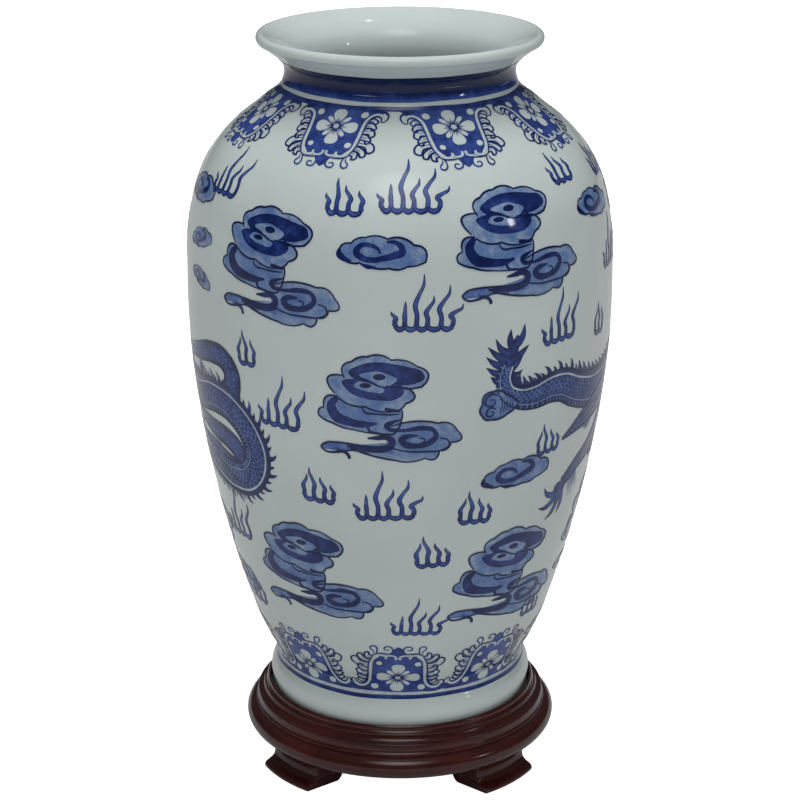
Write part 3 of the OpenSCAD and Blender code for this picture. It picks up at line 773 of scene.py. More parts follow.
def coiled_dragon():
    """The dragon left of the front: one bent leg above a coil of its body, a
    folded limb inside the coil, and the head up round the other side."""
    body = on_wall([(-106, 222), (-99, 207), (-92, 195), (-83, 186), (-72, 184), (-61, 187.5), (-53.6, 186.4),
                    (-48, 181), (-44.4, 173), (-43, 164), (-44.4, 155), (-48.4, 148), (-56, 145.4), (-65, 148),
                    (-76, 152.6), (-86, 157), (-97, 161), (-108, 169), (-118, 182), (-126, 198), (-134, 213),
                    (-143, 222)])
    half = [2.6, 4.8, 6.4, 8, 9, 9.4, 9.4, 9.2, 9, 9, 8.6, 8.4, 8.6, 8.8, 8.6, 8.6, 8.4, 8.2, 8, 7.6]
    thigh = on_wall([(-55, 190), (-50.6, 197), (-50.2, 205), (-53.6, 211), (-60, 211.4), (-68, 208),
                     (-77.5, 204.4)])
    inner = on_wall([(-53, 147), (-50.4, 154), (-51.2, 162), (-56, 166.6), (-63, 168), (-73.4, 170.4)])
    folded = on_wall([(-52, 149), (-58, 152.4), (-65, 156.4), (-74, 160)])
    fore = on_wall([(-124, 196), (-116, 205), (-108, 202), (-101, 192), (-97, 181)])
    last = on_wall([(-118, 182), (-128, 174), (-129, 163), (-123, 154), (-117, 148)])
    return join(
        scattered(fan, [(-105, 218.6, 26, 40, 150, 11, 1.7, 0.3, 0.9, 0.6)])
        + [limb(inner, [6.4, 6.2, 6, 5.4, 4.4, 2.6]), limb(folded, [6.4, 5.6, 4, 0.8]),
           limb(thigh, [6.6, 6.4, 6, 5.6, 5, 4.2, 2.8]), limb(fore, [7.6, 6.4, 5, 4, 3]),
           limb(last, [7.6, 6.4, 5, 4, 3])]
        + scattered(claw, [(-78.8, 204, 190, 1.25), (-95.6, 178, -75, 1.2), (-115, 145, -50, 1.25),
                           (-74.8, 170.6, 176, 1.1)])
        + scattered(fan, [(-60, 154, 15, 120, 200, 7, 0.6, -0.2, 0.62, 0.5),
                          (-51.5, 208, 8, -20, 95, 7, 1.3, -0.2, 0.9, 0.5),
                          (-68, 196, 9, 50, 120, 5, 0.9, 0.2, 0.86, 0.5),
                          (-129, 167, 15, 150, 240, 6, 1.1, 0.2, 0.82, 0.5)])
        + [serpent(body, half), shifted(dragon_head(), -150, 224, 24, 0.98, True)])


BAND_STEPS = 288
BAND_ROW = 1.6


def band(low, high, ink_low, ink_high, layer=1, wobble=0.16):
    """A painted band right round the wall, its edges a little uneven."""
    turn = np.linspace(0, 2 * np.pi, BAND_STEPS + 1)
    rows = max(int((high - low) / BAND_ROW), 1) + 1
    share = np.linspace(0, 1, rows)[:, None]
    shake = wobble * (np.sin(5 * turn + low) + 0.6 * np.sin(13 * turn + high))[None]
    run = low + (high - low) * share + shake * np.where((share == 0) | (share == 1), 1, 0.5)
    ink = np.broadcast_to(ink_low + (ink_high - ink_low) * share, run.shape)
    faces = triangles_of(grid_faces(rows, len(turn)))
    return np.tile(turn, rows), run.ravel(), ink.ravel(), np.full(run.size, float(layer)), faces


# ---- where the painter put them -----------------------------------------------
# Degrees from the front, distance along the wall from its foot, size, tilt

LARGE_CLOUDS = [
    (-37, 270, 1.0, 0), (30, 282, 1.0, 2), (-6, 203, 1.0, 0), (-32, 106, 0.98, 0), (36, 101, 1.0, -2),
    (99, 286, 1.0, -2), (-108, 284, 1.0, 2), (164, 291, 1.0, 0), (84, 112, 1.0, 2), (-84, 98, 0.96, -2),
    (134, 128, 1.0, 3), (-141, 108, 0.98, 0), (178, 160, 1.0, -3),
]
SMALL_CLOUDS = [
    (-4.5, 277, 1.0, 0), (34.5, 158, 0.96, 4), (67, 286, 0.9, -4), (-73, 291, 0.9, 5), (-66, 268, 0.62, 12),
    (-65, 248, 0.55, -10), (130, 276, 0.95, 3), (-142, 280, 0.95, -4), (-162, 196, 0.8, 6),
]
# Degrees from the front, distance along the wall, tongues, size
FLAMES = [
    (-56, 297, TALL_FIRE[:5], 0.98), (-16, 298, LOW_FIRE, 1.0), (4, 300, TALL_FIRE, 1.0),
    (54, 305, LOW_FIRE, 0.95), (7, 243, TALL_FIRE, 1.0), (48, 228, TALL_FIRE[:5], 0.98),
    (66, 222, SHORT_FIRE[:3], 0.9), (-43, 216, SHORT_FIRE[:3], 0.95), (-31, 187, TALL_FIRE[:5], 1.0),
    (44, 168, SHORT_FIRE, 0.9), (-24, 149, SHORT_FIRE, 1.0), (-3, 142, TALL_FIRE, 1.0),
    (21, 137, SHORT_FIRE, 1.0), (9, 113, SHORT_FIRE, 1.0), (7, 69, TALL_FIRE, 0.86),
    (-58, 112, TALL_FIRE[:5], 0.98), (-60, 70, SHORT_FIRE[:3], 0.95), (54, 66, SHORT_FIRE, 0.85),
    (77, 254, TALL_FIRE, 0.95), (-88, 252, TALL_FIRE[:5], 0.95), (80, 300, LOW_FIRE, 1.0),
    (125, 300, TALL_FIRE, 0.95), (-128, 302, LOW_FIRE, 1.0), (-174, 254, TALL_FIRE, 0.95),
    (176, 118, TALL_FIRE[:5], 0.9), (95, 70, SHORT_FIRE, 0.95), (-100, 66, TALL_FIRE[:5], 0.86),
    (-112, 112, SHORT_FIRE, 1.0), (112, 130, SHORT_FIRE, 0.95), (76, 150, SHORT_FIRE[:3], 0.9),
    (160, 92, SHORT_FIRE, 0.9), (-170, 74, SHORT_FIRE, 0.95), (130, 75, TALL_FIRE[:5], 0.84),
    (-140, 60, LOW_FIRE, 0.9), (120, 168, TALL_FIRE[:5], 0.9), (-160, 140, SHORT_FIRE, 0.9),
    (150, 262, SHORT_FIRE, 0.9), (-92, 128, SHORT_FIRE[:3], 0.9), (-152, 172, SHORT_FIRE[:3], 0.85),
]
# Degrees from the front of each lappet, and where they lie along the wall
TOP_LAPPETS = [-71, -26, 21.5, 66.5, 111, 157, -158, -113]
FOOT_LAPPETS = [-42, -1, 40.5, 80.5, 120, 160, -161, -121.5, -82]
TOP_RUN = 338.0
FOOT_RUN = 38.0
# From and to along the wall, ink at each edge, layer and unevenness. The collar's two top rows go past 1 ink
# towards the lip: a real navy band, made darker under the lip as painted shade
BANDS = [
    (360.4, 364.2, 0.8, 1.1, 2), (364, 371.4, 1.1, 1.3, 2), (357.6, 360.6, 0.62, 0.86, 1),
    (352.8, 355.5, 0.76, 0.8, 1), (23.5, 27.2, 0.74, 0.8, 1), (21.6, 23.3, 0.1, 0.16, 1, 0.12),
    (19.2, 21.5, 0.78, 0.84, 2),
]
JEWEL_PLACE = (-176, 215)


# ---- finishes --------------------------------------------------------------------

def add(tree, kind, inputs=None, **settings):
    """A shader node with its settings and inputs. A socket given as an input
    is linked, anything else is written there as a value."""
    node = tree.nodes.new("ShaderNode" + kind)
    for key, value in settings.items():
        setattr(node, key, value)
    for key, value in (inputs or {}).items():
        if isinstance(value, bpy.types.NodeSocket):
            tree.links.new(value, node.inputs[key])
        else:
            node.inputs[key].default_value = value
    return node


def first(tree, kind, inputs=None, **settings):
    """The first output of a new shader node."""
    return add(tree, kind, inputs, **settings).outputs[0]


def rgba(tint, share=1.0):
    """A colour darkened or lightened by a factor, as a node input takes it."""
    return (*[c * share for c in tint], 1)


def mix(tree, share, a, b):
    """Colour a, or b where the share is 1."""
    return add(tree, "Mix", {0: share, 6: a, 7: b}, data_type="RGBA").outputs[2]


def maths(tree, operation, *values, clamp=False):
    """One step of arithmetic on sockets and numbers."""
    return first(tree, "Math", dict(enumerate(values)), operation=operation, use_clamp=clamp)


def plus(tree, a, b, clamp=False):
    return maths(tree, "ADD", a, b, clamp=clamp)


def times(tree, a, b):
    return maths(tree, "MULTIPLY", a, b)


def ramp(tree, value, low, high, to_low=0.0, to_high=1.0):
    """A value between two limits, as a smooth step from one number to another."""
    return first(tree, "MapRange", {0: value, 1: low, 2: high, 3: to_low, 4: to_high},
                 interpolation_type="SMOOTHSTEP")


def noise(tree, where, scale, detail=2.0, rough=0.5):
    return first(tree, "TexNoise", {"Vector": where, "Scale": scale, "Detail": detail, "Roughness": rough})


def stretched(tree, where, scale):
    """A position scaled by a factor on each axis, for marks longer one way."""
    return first(tree, "Mapping", {"Vector": where, "Scale": scale})


def effect(name, *numbers):
    """A node group that takes any numbers named and a position, and the
    sockets it is given them by."""
    tree = bpy.data.node_groups.new(name, "ShaderNodeTree")
    for label in numbers:
        tree.interface.new_socket(label, in_out="INPUT", socket_type="NodeSocketFloat")
    tree.interface.new_socket("Position", in_out="INPUT", socket_type="NodeSocketVector")
    return tree, tree.nodes.new("NodeGroupInput").outputs


def surface(tree, **results):
    """The group with its results led out: Color, Roughness and Height."""
    for label in results:
        kind = "NodeSocketColor" if label == "Color" else "NodeSocketFloat"
        tree.interface.new_socket(label, in_out="OUTPUT", socket_type=kind)
    out = tree.nodes.new("NodeGroupOutput").inputs
    for label, socket in results.items():
        tree.links.new(socket, out[label])
    return tree


# Places of the tints from bare glaze at 0 to half the navy at 1
THIN_WASH_AT, WASH_AT, COBALT_AT, NAVY_AT = 0.16, 0.44, 0.66, 0.86
THIN_WASH_SHARE = 0.34
FIRST_INK = 0.12
BRUSH_MARKS, BRUSH_GRAIN = 0.5, 0.16
SPECK_SCALE, SPECK_R, SPECK_FROM = 62.0, 0.028, 0.86
SPECK_TINT = (0.06, 0.045, 0.035, 1)
CLAY_TINTS = (0.52, 0.43, 0.33, 1), (0.64, 0.56, 0.46, 1)
CLAY_H, CLAY_ROUGHNESS = 0.0018, 0.82
DUST_TINT = (0.22, 0.19, 0.18, 1)
BARE_WOOD_TINTS = (0.075, 0.028, 0.016, 1), (0.20, 0.085, 0.045, 1)
PORE_TINT = (0.03, 0.012, 0.008, 1)
STEEL_TINTS = (0.36, 0.34, 0.30, 1), (0.55, 0.53, 0.48, 1)
STAIN_TINT = (0.20, 0.13, 0.08, 1)


def glaze_effect(settings):
    """Cobalt under a clear glaze. Ink from 0 to 1 goes from the glaze through
    a pale wash to near black navy; the wash is uneven, the glaze has faint
    clouds and a few kiln specks, and it stops in bare clay at the foot rim."""
    tree, given = effect("Cobalt under glaze", "Ink")
    where, ink = given["Position"], given["Ink"]
    height = add(tree, "SeparateXYZ", {0: where}).outputs[2]
    drift = noise(tree, where, 9.0, 3.0)
    brush = noise(tree, where, 150.0, 3.0, 0.6)
    grain = noise(tree, where, 900.0, 2.0, 0.6)
    pooled = plus(tree, times(tree, maths(tree, "SUBTRACT", brush, 0.5), BRUSH_MARKS),
                  times(tree, maths(tree, "SUBTRACT", grain, 0.5), BRUSH_GRAIN))
    painted = ramp(tree, ink, 0.0, FIRST_INK)
    cobalt = add(tree, "ValToRGB", {0: plus(tree, ink, times(tree, pooled, painted), clamp=True)})
    steps = cobalt.color_ramp.elements
    glaze, wash_tint, navy = settings.glaze_tint, settings.wash_tint, settings.navy_tint
    steps[0].color, steps[1].color = rgba(glaze), rgba(navy, 0.5)
    thin = [g + (p - g) * THIN_WASH_SHARE for g, p in zip(glaze, wash_tint)]
    for place, tint in ((THIN_WASH_AT, thin), (WASH_AT, wash_tint), (COBALT_AT, settings.cobalt_tint),
                        (NAVY_AT, navy)):
        steps.new(place).color = rgba(tint)
    shade = ramp(tree, drift, 0.3, 0.7, 0.94, 1.04)
    clouding = first(tree, "CombineColor", {0: shade, 1: shade, 2: shade})
    glazed = add(tree, "Mix", {0: 1.0, 6: cobalt.outputs[0], 7: clouding}, data_type="RGBA",
                 blend_type="MULTIPLY").outputs[2]
    cell = add(tree, "TexVoronoi", {"Vector": where, "Scale": SPECK_SCALE}).outputs
    chosen = add(tree, "SeparateColor", {0: cell["Color"]}).outputs
    near = maths(tree, "LESS_THAN", cell["Distance"], times(tree, chosen[1], SPECK_R))
    speck = times(tree, near, maths(tree, "GREATER_THAN", chosen[0], SPECK_FROM))
    specked = mix(tree, times(tree, speck, 0.75), glazed, SPECK_TINT)
    edge = plus(tree, height, times(tree, brush, 0.0008))
    bare = maths(tree, "LESS_THAN", edge, VASE_FOOT_Z * MM + CLAY_H)
    rough = settings.glaze_roughness
    gloss = ramp(tree, noise(tree, where, 30.0), 0.3, 0.7, rough * 0.8, rough * 1.3)
    return surface(
        tree, Color=mix(tree, bare, specked, mix(tree, grain, *CLAY_TINTS)),
        Roughness=first(tree, "Mix", {0: bare, 2: gloss, 3: CLAY_ROUGHNESS}),
        Height=plus(tree, noise(tree, where, 22.0, 1.0), times(tree, noise(tree, where, 260.0, 1.0), 0.035)))


def lacquer_effect(settings):
    """Very dark red-brown lacquer over fine pores that run round the ring,
    with patches a little redder and a trace of dust in the pores."""
    tree, given = effect("Lacquered wood")
    where, tint, rough = given["Position"], settings.lacquer_tint, settings.lacquer_roughness
    split = add(tree, "SeparateXYZ", {0: where}).outputs
    turn = maths(tree, "ARCTAN2", split[1], split[0])
    level = first(tree, "CombineXYZ", {0: split[0], 1: split[1]})
    radius = add(tree, "VectorMath", {0: level}, operation="LENGTH").outputs["Value"]
    along = first(tree, "CombineXYZ", {k: times(tree, value, scale) for k, (value, scale) in enumerate(
        ((split[0], 34.0), (radius, 620.0), (split[2], 560.0)))})
    circle = first(tree, "CombineXYZ", {
        k: times(tree, maths(tree, name, turn), 5.0) for k, name in enumerate(("COSINE", "SINE"))})
    pores = noise(tree, first(tree, "VectorMath", {0: along, 1: circle}, operation="ADD"), 1.0, 4.0, 0.62)
    figure = noise(tree, where, 26.0, 3.0)
    dust = noise(tree, where, 420.0, 3.0, 0.7)
    tone = mix(tree, ramp(tree, pores, 0.36, 0.62), rgba(tint, 0.62), rgba(tint))
    warm = mix(tree, ramp(tree, figure, 0.45, 0.75, 0.0, 0.5), tone, rgba(tint, 1.7))
    return surface(
        tree, Color=mix(tree, ramp(tree, dust, 0.64, 0.8, 0.0, 0.05), warm, DUST_TINT),
        Roughness=ramp(tree, dust, 0.35, 0.75, rough, rough + 0.12),
        Height=plus(tree, times(tree, pores, 0.5), figure))


def bare_wood_effect(settings):
    """Stained wood with no lacquer: straight grain with dark pores."""
    tree, given = effect("Bare stained wood")
    where = stretched(tree, given["Position"], (14.0, 240.0, 60.0))
    grain = noise(tree, where, 1.0, 5.0, 0.6)
    fine = noise(tree, where, 5.0, 2.0, 0.6)
    tone = mix(tree, ramp(tree, grain, 0.3, 0.7), *BARE_WOOD_TINTS)
    return surface(
        tree, Color=mix(tree, ramp(tree, fine, 0.58, 0.72, 0.0, 0.7), tone, PORE_TINT),
        Roughness=ramp(tree, grain, 0.3, 0.7, 0.55, 0.78), Height=plus(tree, grain, fine))


def felt_effect(settings):
    """Pressed felt: tangled fibres of two greens, matt all over."""
    tree, given = effect("Pressed felt")
    tangle = noise(tree, given["Position"], 1400.0, 4.0, 0.75)
    clump = noise(tree, given["Position"], 190.0)
    tint = settings.felt_tint
    tone = mix(tree, ramp(tree, tangle, 0.3, 0.7), rgba(tint, 0.55), rgba(tint, 1.6))
    return surface(
        tree, Color=mix(tree, ramp(tree, clump, 0.4, 0.8, 0.0, 0.4), tone, rgba(tint)),
        Roughness=ramp(tree, tangle, 0.2, 0.8, 0.88, 0.98), Height=plus(tree, tangle, times(tree, clump, 1.5)))


def metal_effect(settings):
    """Turned mild steel, brushed round its axis, a little stained."""
    tree, given = effect("Turned steel")
    rings = noise(tree, stretched(tree, given["Position"], (90.0, 90.0, 2600.0)), 1.0)
    stain = noise(tree, given["Position"], 160.0, 3.0)
    tone = mix(tree, ramp(tree, rings, 0.3, 0.7), *STEEL_TINTS)
    return surface(
        tree, Color=mix(tree, ramp(tree, stain, 0.6, 0.8, 0.0, 0.6), tone, STAIN_TINT),
        Roughness=ramp(tree, stain, 0.3, 0.8, 0.28, 0.55), Height=rings)


# Slot: the material's name, its node group, how deep its relief is in m and how
# much of that shows, and the shader's other inputs
EFFECTS = {
    "porcelain": ("Glazed porcelain", glaze_effect, 0.0004, 0.35,
                  {"Coat Weight": 0.25, "Coat Roughness": 0.04, "Specular IOR Level": 0.24}),
    "lacquered_wood": ("Dark lacquered wood", lacquer_effect, 0.0004, 0.35,
                       {"Coat Weight": 0.42, "Coat Roughness": 0.16, "Specular IOR Level": 0.26}),
    "bare_wood": ("Bare stained wood", bare_wood_effect, 0.0004, 0.5, {}),
    "felt": ("Pressed felt", felt_effect, 0.0005, 0.8, {"Sheen Weight": 0.35, "Sheen Roughness": 0.6}),
    "screw_steel": ("Turned steel", metal_effect, 0.0002, 0.5, {"Metallic": 1.0}),
}


def blank_material(name):
    """A new material with no nodes yet, and its tree."""
    material = bpy.data.materials.new(name)
    material.use_nodes = True
    material.node_tree.nodes.clear()
    return material, material.node_tree


def shade_with(tree, inputs):
    """Ends a material's tree in a surface shader with these inputs."""
    shader = first(tree, "BsdfPrincipled", inputs)
    tree.links.new(shader, add(tree, "OutputMaterial").inputs[0])


def finish_for(slot):
    """The material for one of the part's slots, made the first time it is
    asked for from the settings in the sidebar."""
    name, make, depth, push, inputs = EFFECTS[slot]
    if name in bpy.data.materials:
        return bpy.data.materials[name]
    material, tree = blank_material(name)
    group = add(tree, "Group", node_tree=make(bpy.context.scene.porcelain_finish))
    tree.links.new(add(tree, "TexCoord").outputs["Object"], group.inputs["Position"])
    if "Ink" in group.inputs:
        tree.links.new(add(tree, "Attribute", attribute_name="ink").outputs["Fac"], group.inputs["Ink"])
    made = group.outputs
    relief = first(tree, "Bump", {"Height": made["Height"], "Strength": push, "Distance": depth})
    shade_with(tree, {"Base Color": made["Color"], "Roughness": made["Roughness"], "Normal": relief,
                      "IOR": 1.5, **inputs})
    return material


# ---- settings ----------------------------------------------------------------------

def tint(name, words, value):
    return bpy.props.FloatVectorProperty(name=name, description=words, default=value, size=3, min=0, max=1,
                                         subtype="COLOR")


def number(name, words, value, **more):
    return bpy.props.FloatProperty(name=name, description=words, default=value, **more)


def length(name, words, value, **more):
    return number(name, words, value, unit="LENGTH", **more)


def count(name, words, value, low, high):
    return bpy.props.IntProperty(name=name, description=words, default=value, min=low, max=high)


class PorcelainFinish(bpy.types.PropertyGroup):
    glaze_tint: tint("Glaze", "Colour of the bare glaze", (0.583, 0.655, 0.640))
    wash_tint: tint("Wash", "Colour of the pale cobalt wash", (0.115, 0.200, 0.405))
    cobalt_tint: tint("Cobalt", "Colour of a full brush of cobalt", (0.038, 0.078, 0.315))
    navy_tint: tint("Navy", "Colour of the thickest cobalt", (0.010, 0.023, 0.120))
    lacquer_tint: tint("Lacquer", "Colour of the lacquered stand", (0.047, 0.0080, 0.0060))
    felt_tint: tint("Felt", "Colour of the felt", (0.025, 0.045, 0.032))
    glaze_roughness: number("Glaze roughness", "How blurred reflections in the glaze are", 0.10, min=0.02, max=1)
    lacquer_roughness: number("Lacquer roughness", "How blurred reflections in the lacquer are", 0.16, min=0.05,
                              max=1)


class PorcelainForm(bpy.types.PropertyGroup):
    segments: count("Segments", "Faces round the vase and the ring", 216, 48, 512)
    wall_steps: count("Wall steps", "Rows of faces between two points of an outline", 6, 2, 12)
    foot_width: length("Foot width", "Width of each foot of the stand", 0.0386, min=0.02, max=0.06)
    edge_round: length("Worn edge", "Radius of the feet's side edges", 0.0007, min=0.0001, max=0.003)
    line_weight: length("Outline", "Half the width of the clouds' outlines", 0.00046, min=0.0002, max=0.0012)


class PorcelainStage(bpy.types.PropertyGroup):
    distance: length("Distance", "Camera's distance from the vase's axis, level", 1.25, min=0.5)
    height: length("Height", "Camera's height above the floor", 0.623, min=0.0)
    down: number("Tilt down", "How far the camera looks below level", math.radians(18.75), subtype="ANGLE")
    lens: number("Lens", "Focal length in mm", 112.5, min=20)
    room_low: number("Room light", "Strength of the light from every side", 0.09, min=0)
    room_top: number("Light from above", "What the light gains towards the top", 0.35, min=0)
    room_front: number("Light from the front", "What the light gains towards the front", 0.05, min=0)
    room_high: number("High light", "Strength of the soft light mirrored from above the front", 3.4, min=0)
    floor_size: length("Floor", "Size of the floor", 16.0, min=2)


# ---- operators ------------------------------------------------------------------------

SLAB_RINGS, SLAB_SEGMENTS, SLAB_DIP = 8, 96, 0.12


def inner_wall():
    """The inside of the vase from under the lip down to the floor's middle:
    the outer wall moved in by the wall's thickness, then a dished floor."""
    outer = smooth_line(BODY_LINE[1:] + NECK_LINE, 4)
    inside = outer + sides_of(outer)[1] * WALL_T
    inside = inside[inside[:, 1] < INSIDE_TOP]
    return np.vstack([inside[::-1], smooth_line(INSIDE_FLOOR, 6)])


def felt_disc(name, node, body, wave, seed, centre=None):
    """A soft disc in the space of a node: a rounded rim on a turned profile,
    its top and edge moved by a slow wave so that it isn't a perfect plate."""
    low, high = (np.array(corner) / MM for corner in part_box(node))
    radius, thick, bottom = (high[0] - low[0]) / 2, high[2] - low[2], low[2]
    half = thick / 2
    rings = np.linspace(0, radius - half, SLAB_RINGS + 1)[:-1]
    under, over = (np.stack([rings, np.full(SLAB_RINGS, z)], 1) for z in (bottom, bottom + thick))
    edge = arc((radius - half, bottom + half), half, -90, 90, 10)
    points, faces = lathe(np.vstack([under, edge, over[::-1]]), SLAB_SEGMENTS)
    turn = np.arctan2(points[:, 1], points[:, 0])
    share = np.hypot(points[:, 0], points[:, 1]) / radius
    ripple = 0.5 + 0.28 * np.sin(3 * turn + seed) + 0.22 * np.sin(11 * turn + 2 * seed)
    points[:, :2] *= (1 - wave * ripple * share**8)[:, None]
    hollow = 0.5 + 0.5 * np.sin(9 * share * np.cos(turn + seed) + seed)
    points[:, 2] -= SLAB_DIP * thick * hollow * (points[:, 2] > bottom + half)
    points[:, :2] += (low + high)[:2] / 2 if centre is None else centre
    return new_piece(name, points, faces, body, "felt", (node,))


def placed_list(motif, places):
    """A motif laid at each place of a list, smaller or turned as it says."""
    return [laid(motif, angle, run, size, tilt) for angle, run, size, tilt in places]


class PORCELAIN_OT_vase(bpy.types.Operator):
    """Turns the vase's body: one closed profile of foot, wall, lip and inside"""

    bl_idname = "porcelain.vase"
    bl_label = "Vase body"

    def execute(self, context):
        form = context.scene.porcelain_form
        outer = smooth_line(FOOT_LINE + BODY_LINE + NECK_LINE, form.wall_steps)
        base = [(r, BASE_RECESS) for r in (0, 14, 28, 42, 56)]
        base += [(57.4, 5.1), (58, 4), (58.3, 2), (59, 0.4), (60, 0), (63, 0), (66, 0)]
        profile = np.vstack([base, outer, arc(LIP_CENTRE, LIP_T, -44, 116, 20), inner_wall()])
        profile = profile[np.append(True, np.hypot(*np.diff(profile, axis=0).T) > 0.02)]
        points, faces = lathe(profile + [0, VASE_FOOT_Z], form.segments)
        new_piece("vase_body", points, faces, "vase", "porcelain", ("vase",))
        return {"FINISHED"}


class PORCELAIN_OT_bands(bpy.types.Operator):
    """Paints the dark collar under the lip, darkest towards the lip as painted shade, and the lines round neck and
    foot
    """

    bl_idname = "porcelain.bands"
    bl_label = "Painted bands"

    def execute(self, context):
        painted_piece("painted_bands", [band(*row) for row in BANDS])
        return {"FINISHED"}


class PORCELAIN_OT_lappets(bpy.types.Operator):
    """Paints the flowered lappets that hang from the neck and stand on the foot"""

    bl_idname = "porcelain.lappets"
    bl_label = "Flowered lappets"

    def execute(self, context):
        motif = lappet()
        top = [laid(motif, a, TOP_RUN, 1.0, 1.5 * math.sin(7.0 * k)) for k, a in enumerate(TOP_LAPPETS)]
        low = [laid(upended(motif), a, FOOT_RUN, 0.95, 1.5 * math.sin(5.0 * k), stretch=1.08)
               for k, a in enumerate(FOOT_LAPPETS)]
        painted_piece("painted_shoulder_lappets", top)
        painted_piece("painted_foot_lappets", low)
        return {"FINISHED"}


class PORCELAIN_OT_clouds(bpy.types.Operator):
    """Paints the large scrolled clouds and the small ones between them"""

    bl_idname = "porcelain.clouds"
    bl_label = "Clouds"

    def execute(self, context):
        weight = context.scene.porcelain_form.line_weight / MM
        painted_piece("painted_large_clouds", placed_list(ruyi_cloud(weight), LARGE_CLOUDS))
        painted_piece("painted_small_clouds", placed_list(small_cloud(weight), SMALL_CLOUDS))
        return {"FINISHED"}


class PORCELAIN_OT_flames(bpy.types.Operator):
    """Paints the rows of flame tongues that fill the ground"""

    bl_idname = "porcelain.flames"
    bl_label = "Flames"

    def execute(self, context):
        rows = [laid(fire(tongues), angle, run, size, 2.5 * math.sin(3.0 * k))
                for k, (angle, run, tongues, size) in enumerate(FLAMES)]
        painted_piece("painted_flames", rows)
        return {"FINISHED"}


class PORCELAIN_OT_dragons(bpy.types.Operator):
    """Paints the two dragons and the flaming jewel between their heads"""

    bl_idname = "porcelain.dragons"
    bl_label = "Dragons and jewel"

    def execute(self, context):
        for name, draw in (("painted_rising_dragon", rising_dragon), ("painted_coiled_dragon", coiled_dragon)):
            painted_piece(name, [laid(draw(), 0, 0, true_width=False)])
        painted_piece("painted_jewel", [laid(pearl(), *JEWEL_PLACE)])
        return {"FINISHED"}


# Outlines of the ring between its roll and its cove, and over its top
RING_BEAD = [(78.9, 29.0), (78.3, 29.3), (78.6, 29.9), (78.5, 30.5), (77.9, 31.1), (77.45, 33.2), (77.25, 34.3),
             (77.5, 34.9), (77.2, 35.45)]
RING_CREST = [(73.35, 39.55), (72.75, 40.5), (72.25, 41.2), (72.3, 42.2), (71.9, 43.1), (71.3, 43.6),
              (70.8, 43.3), (70.7, 42.6)]
DRAWN_TOP = 43.6


class PORCELAIN_OT_stand(bpy.types.Operator):
    """Turns the stand's moulded ring: roll, cove, bead, seat and bore"""

    bl_idname = "porcelain.stand"
    bl_label = "Stand ring"

    def execute(self, context):
        form = context.scene.porcelain_form
        low = RING_FOOT
        soft, crest = smooth_line(RING_BEAD, 4), smooth_line(RING_CREST, 4)
        outline = np.vstack([
            arc((53, low + 0.6), 0.6, 180, 270, 3) - [0.4, 0], [(60, low), (70, low)],
            arc((RING_R - 6.2, low + 6.2), 6.2, -90, 68, 26), soft, arc((77.0, 39.0), 3.5, -96, -172, 12),
            arc((72.4, 39.3), 1.5, -36, 20, 5), crest, [(70.7, 41), (SEAT_R, SEAT_Z + 0.3), (SEAT_R - 0.3, SEAT_Z)],
            [(66, SEAT_Z), (PANEL_R + 0.5, SEAT_Z), (PANEL_R + 0.1, SEAT_Z - 0.4)],
            [(PANEL_R + 0.1, SEAT_Z - PANEL_T), (56, SEAT_Z - PANEL_T), (BORE_R + 0.4, SEAT_Z - PANEL_T),
             (BORE_R, SEAT_Z - PANEL_T - 0.4), (BORE_R, 28), (BORE_R, 22)],
        ])
        outline[:, 1] += np.where(outline[:, 1] > SEAT_Z + 1, RING_TOP - DRAWN_TOP, 0)
        points, faces = lathe(outline, form.segments)
        new_piece("stand_moulded_ring", points, faces, "stand", "lacquered_wood", ("stand_ring",))
        return {"FINISHED"}


# Outlines of a foot on its outer and inner side, from the floor up
FOOT_OUTER = [(79.6, 1.0), (80.2, 1.35), (80.5, 2.1), (80.3, 3.3), (78.8, 4.2), (76.2, 5.4), (74.4, 7.2),
              (73.8, 9.6), (74.2, 12.4), (75.2, 15), (76.4, 17)]
FOOT_INNER = [(60.6, 1.0), (59.7, 1.4), (58, 3.4), (56.4, 6.4), (55, 8.8), (54.2, 10.4), (53.6, 12),
              (53.3, 13.6), (53.15, 15), (53.05, 16), (53, 17)]
FOOT_MIDDLE_Z = 9.0
# Degrees from the front of each foot
FEET = {"front_left": -51.5, "front_right": 48.5, "back_left": -131.5, "back_right": 128.5}


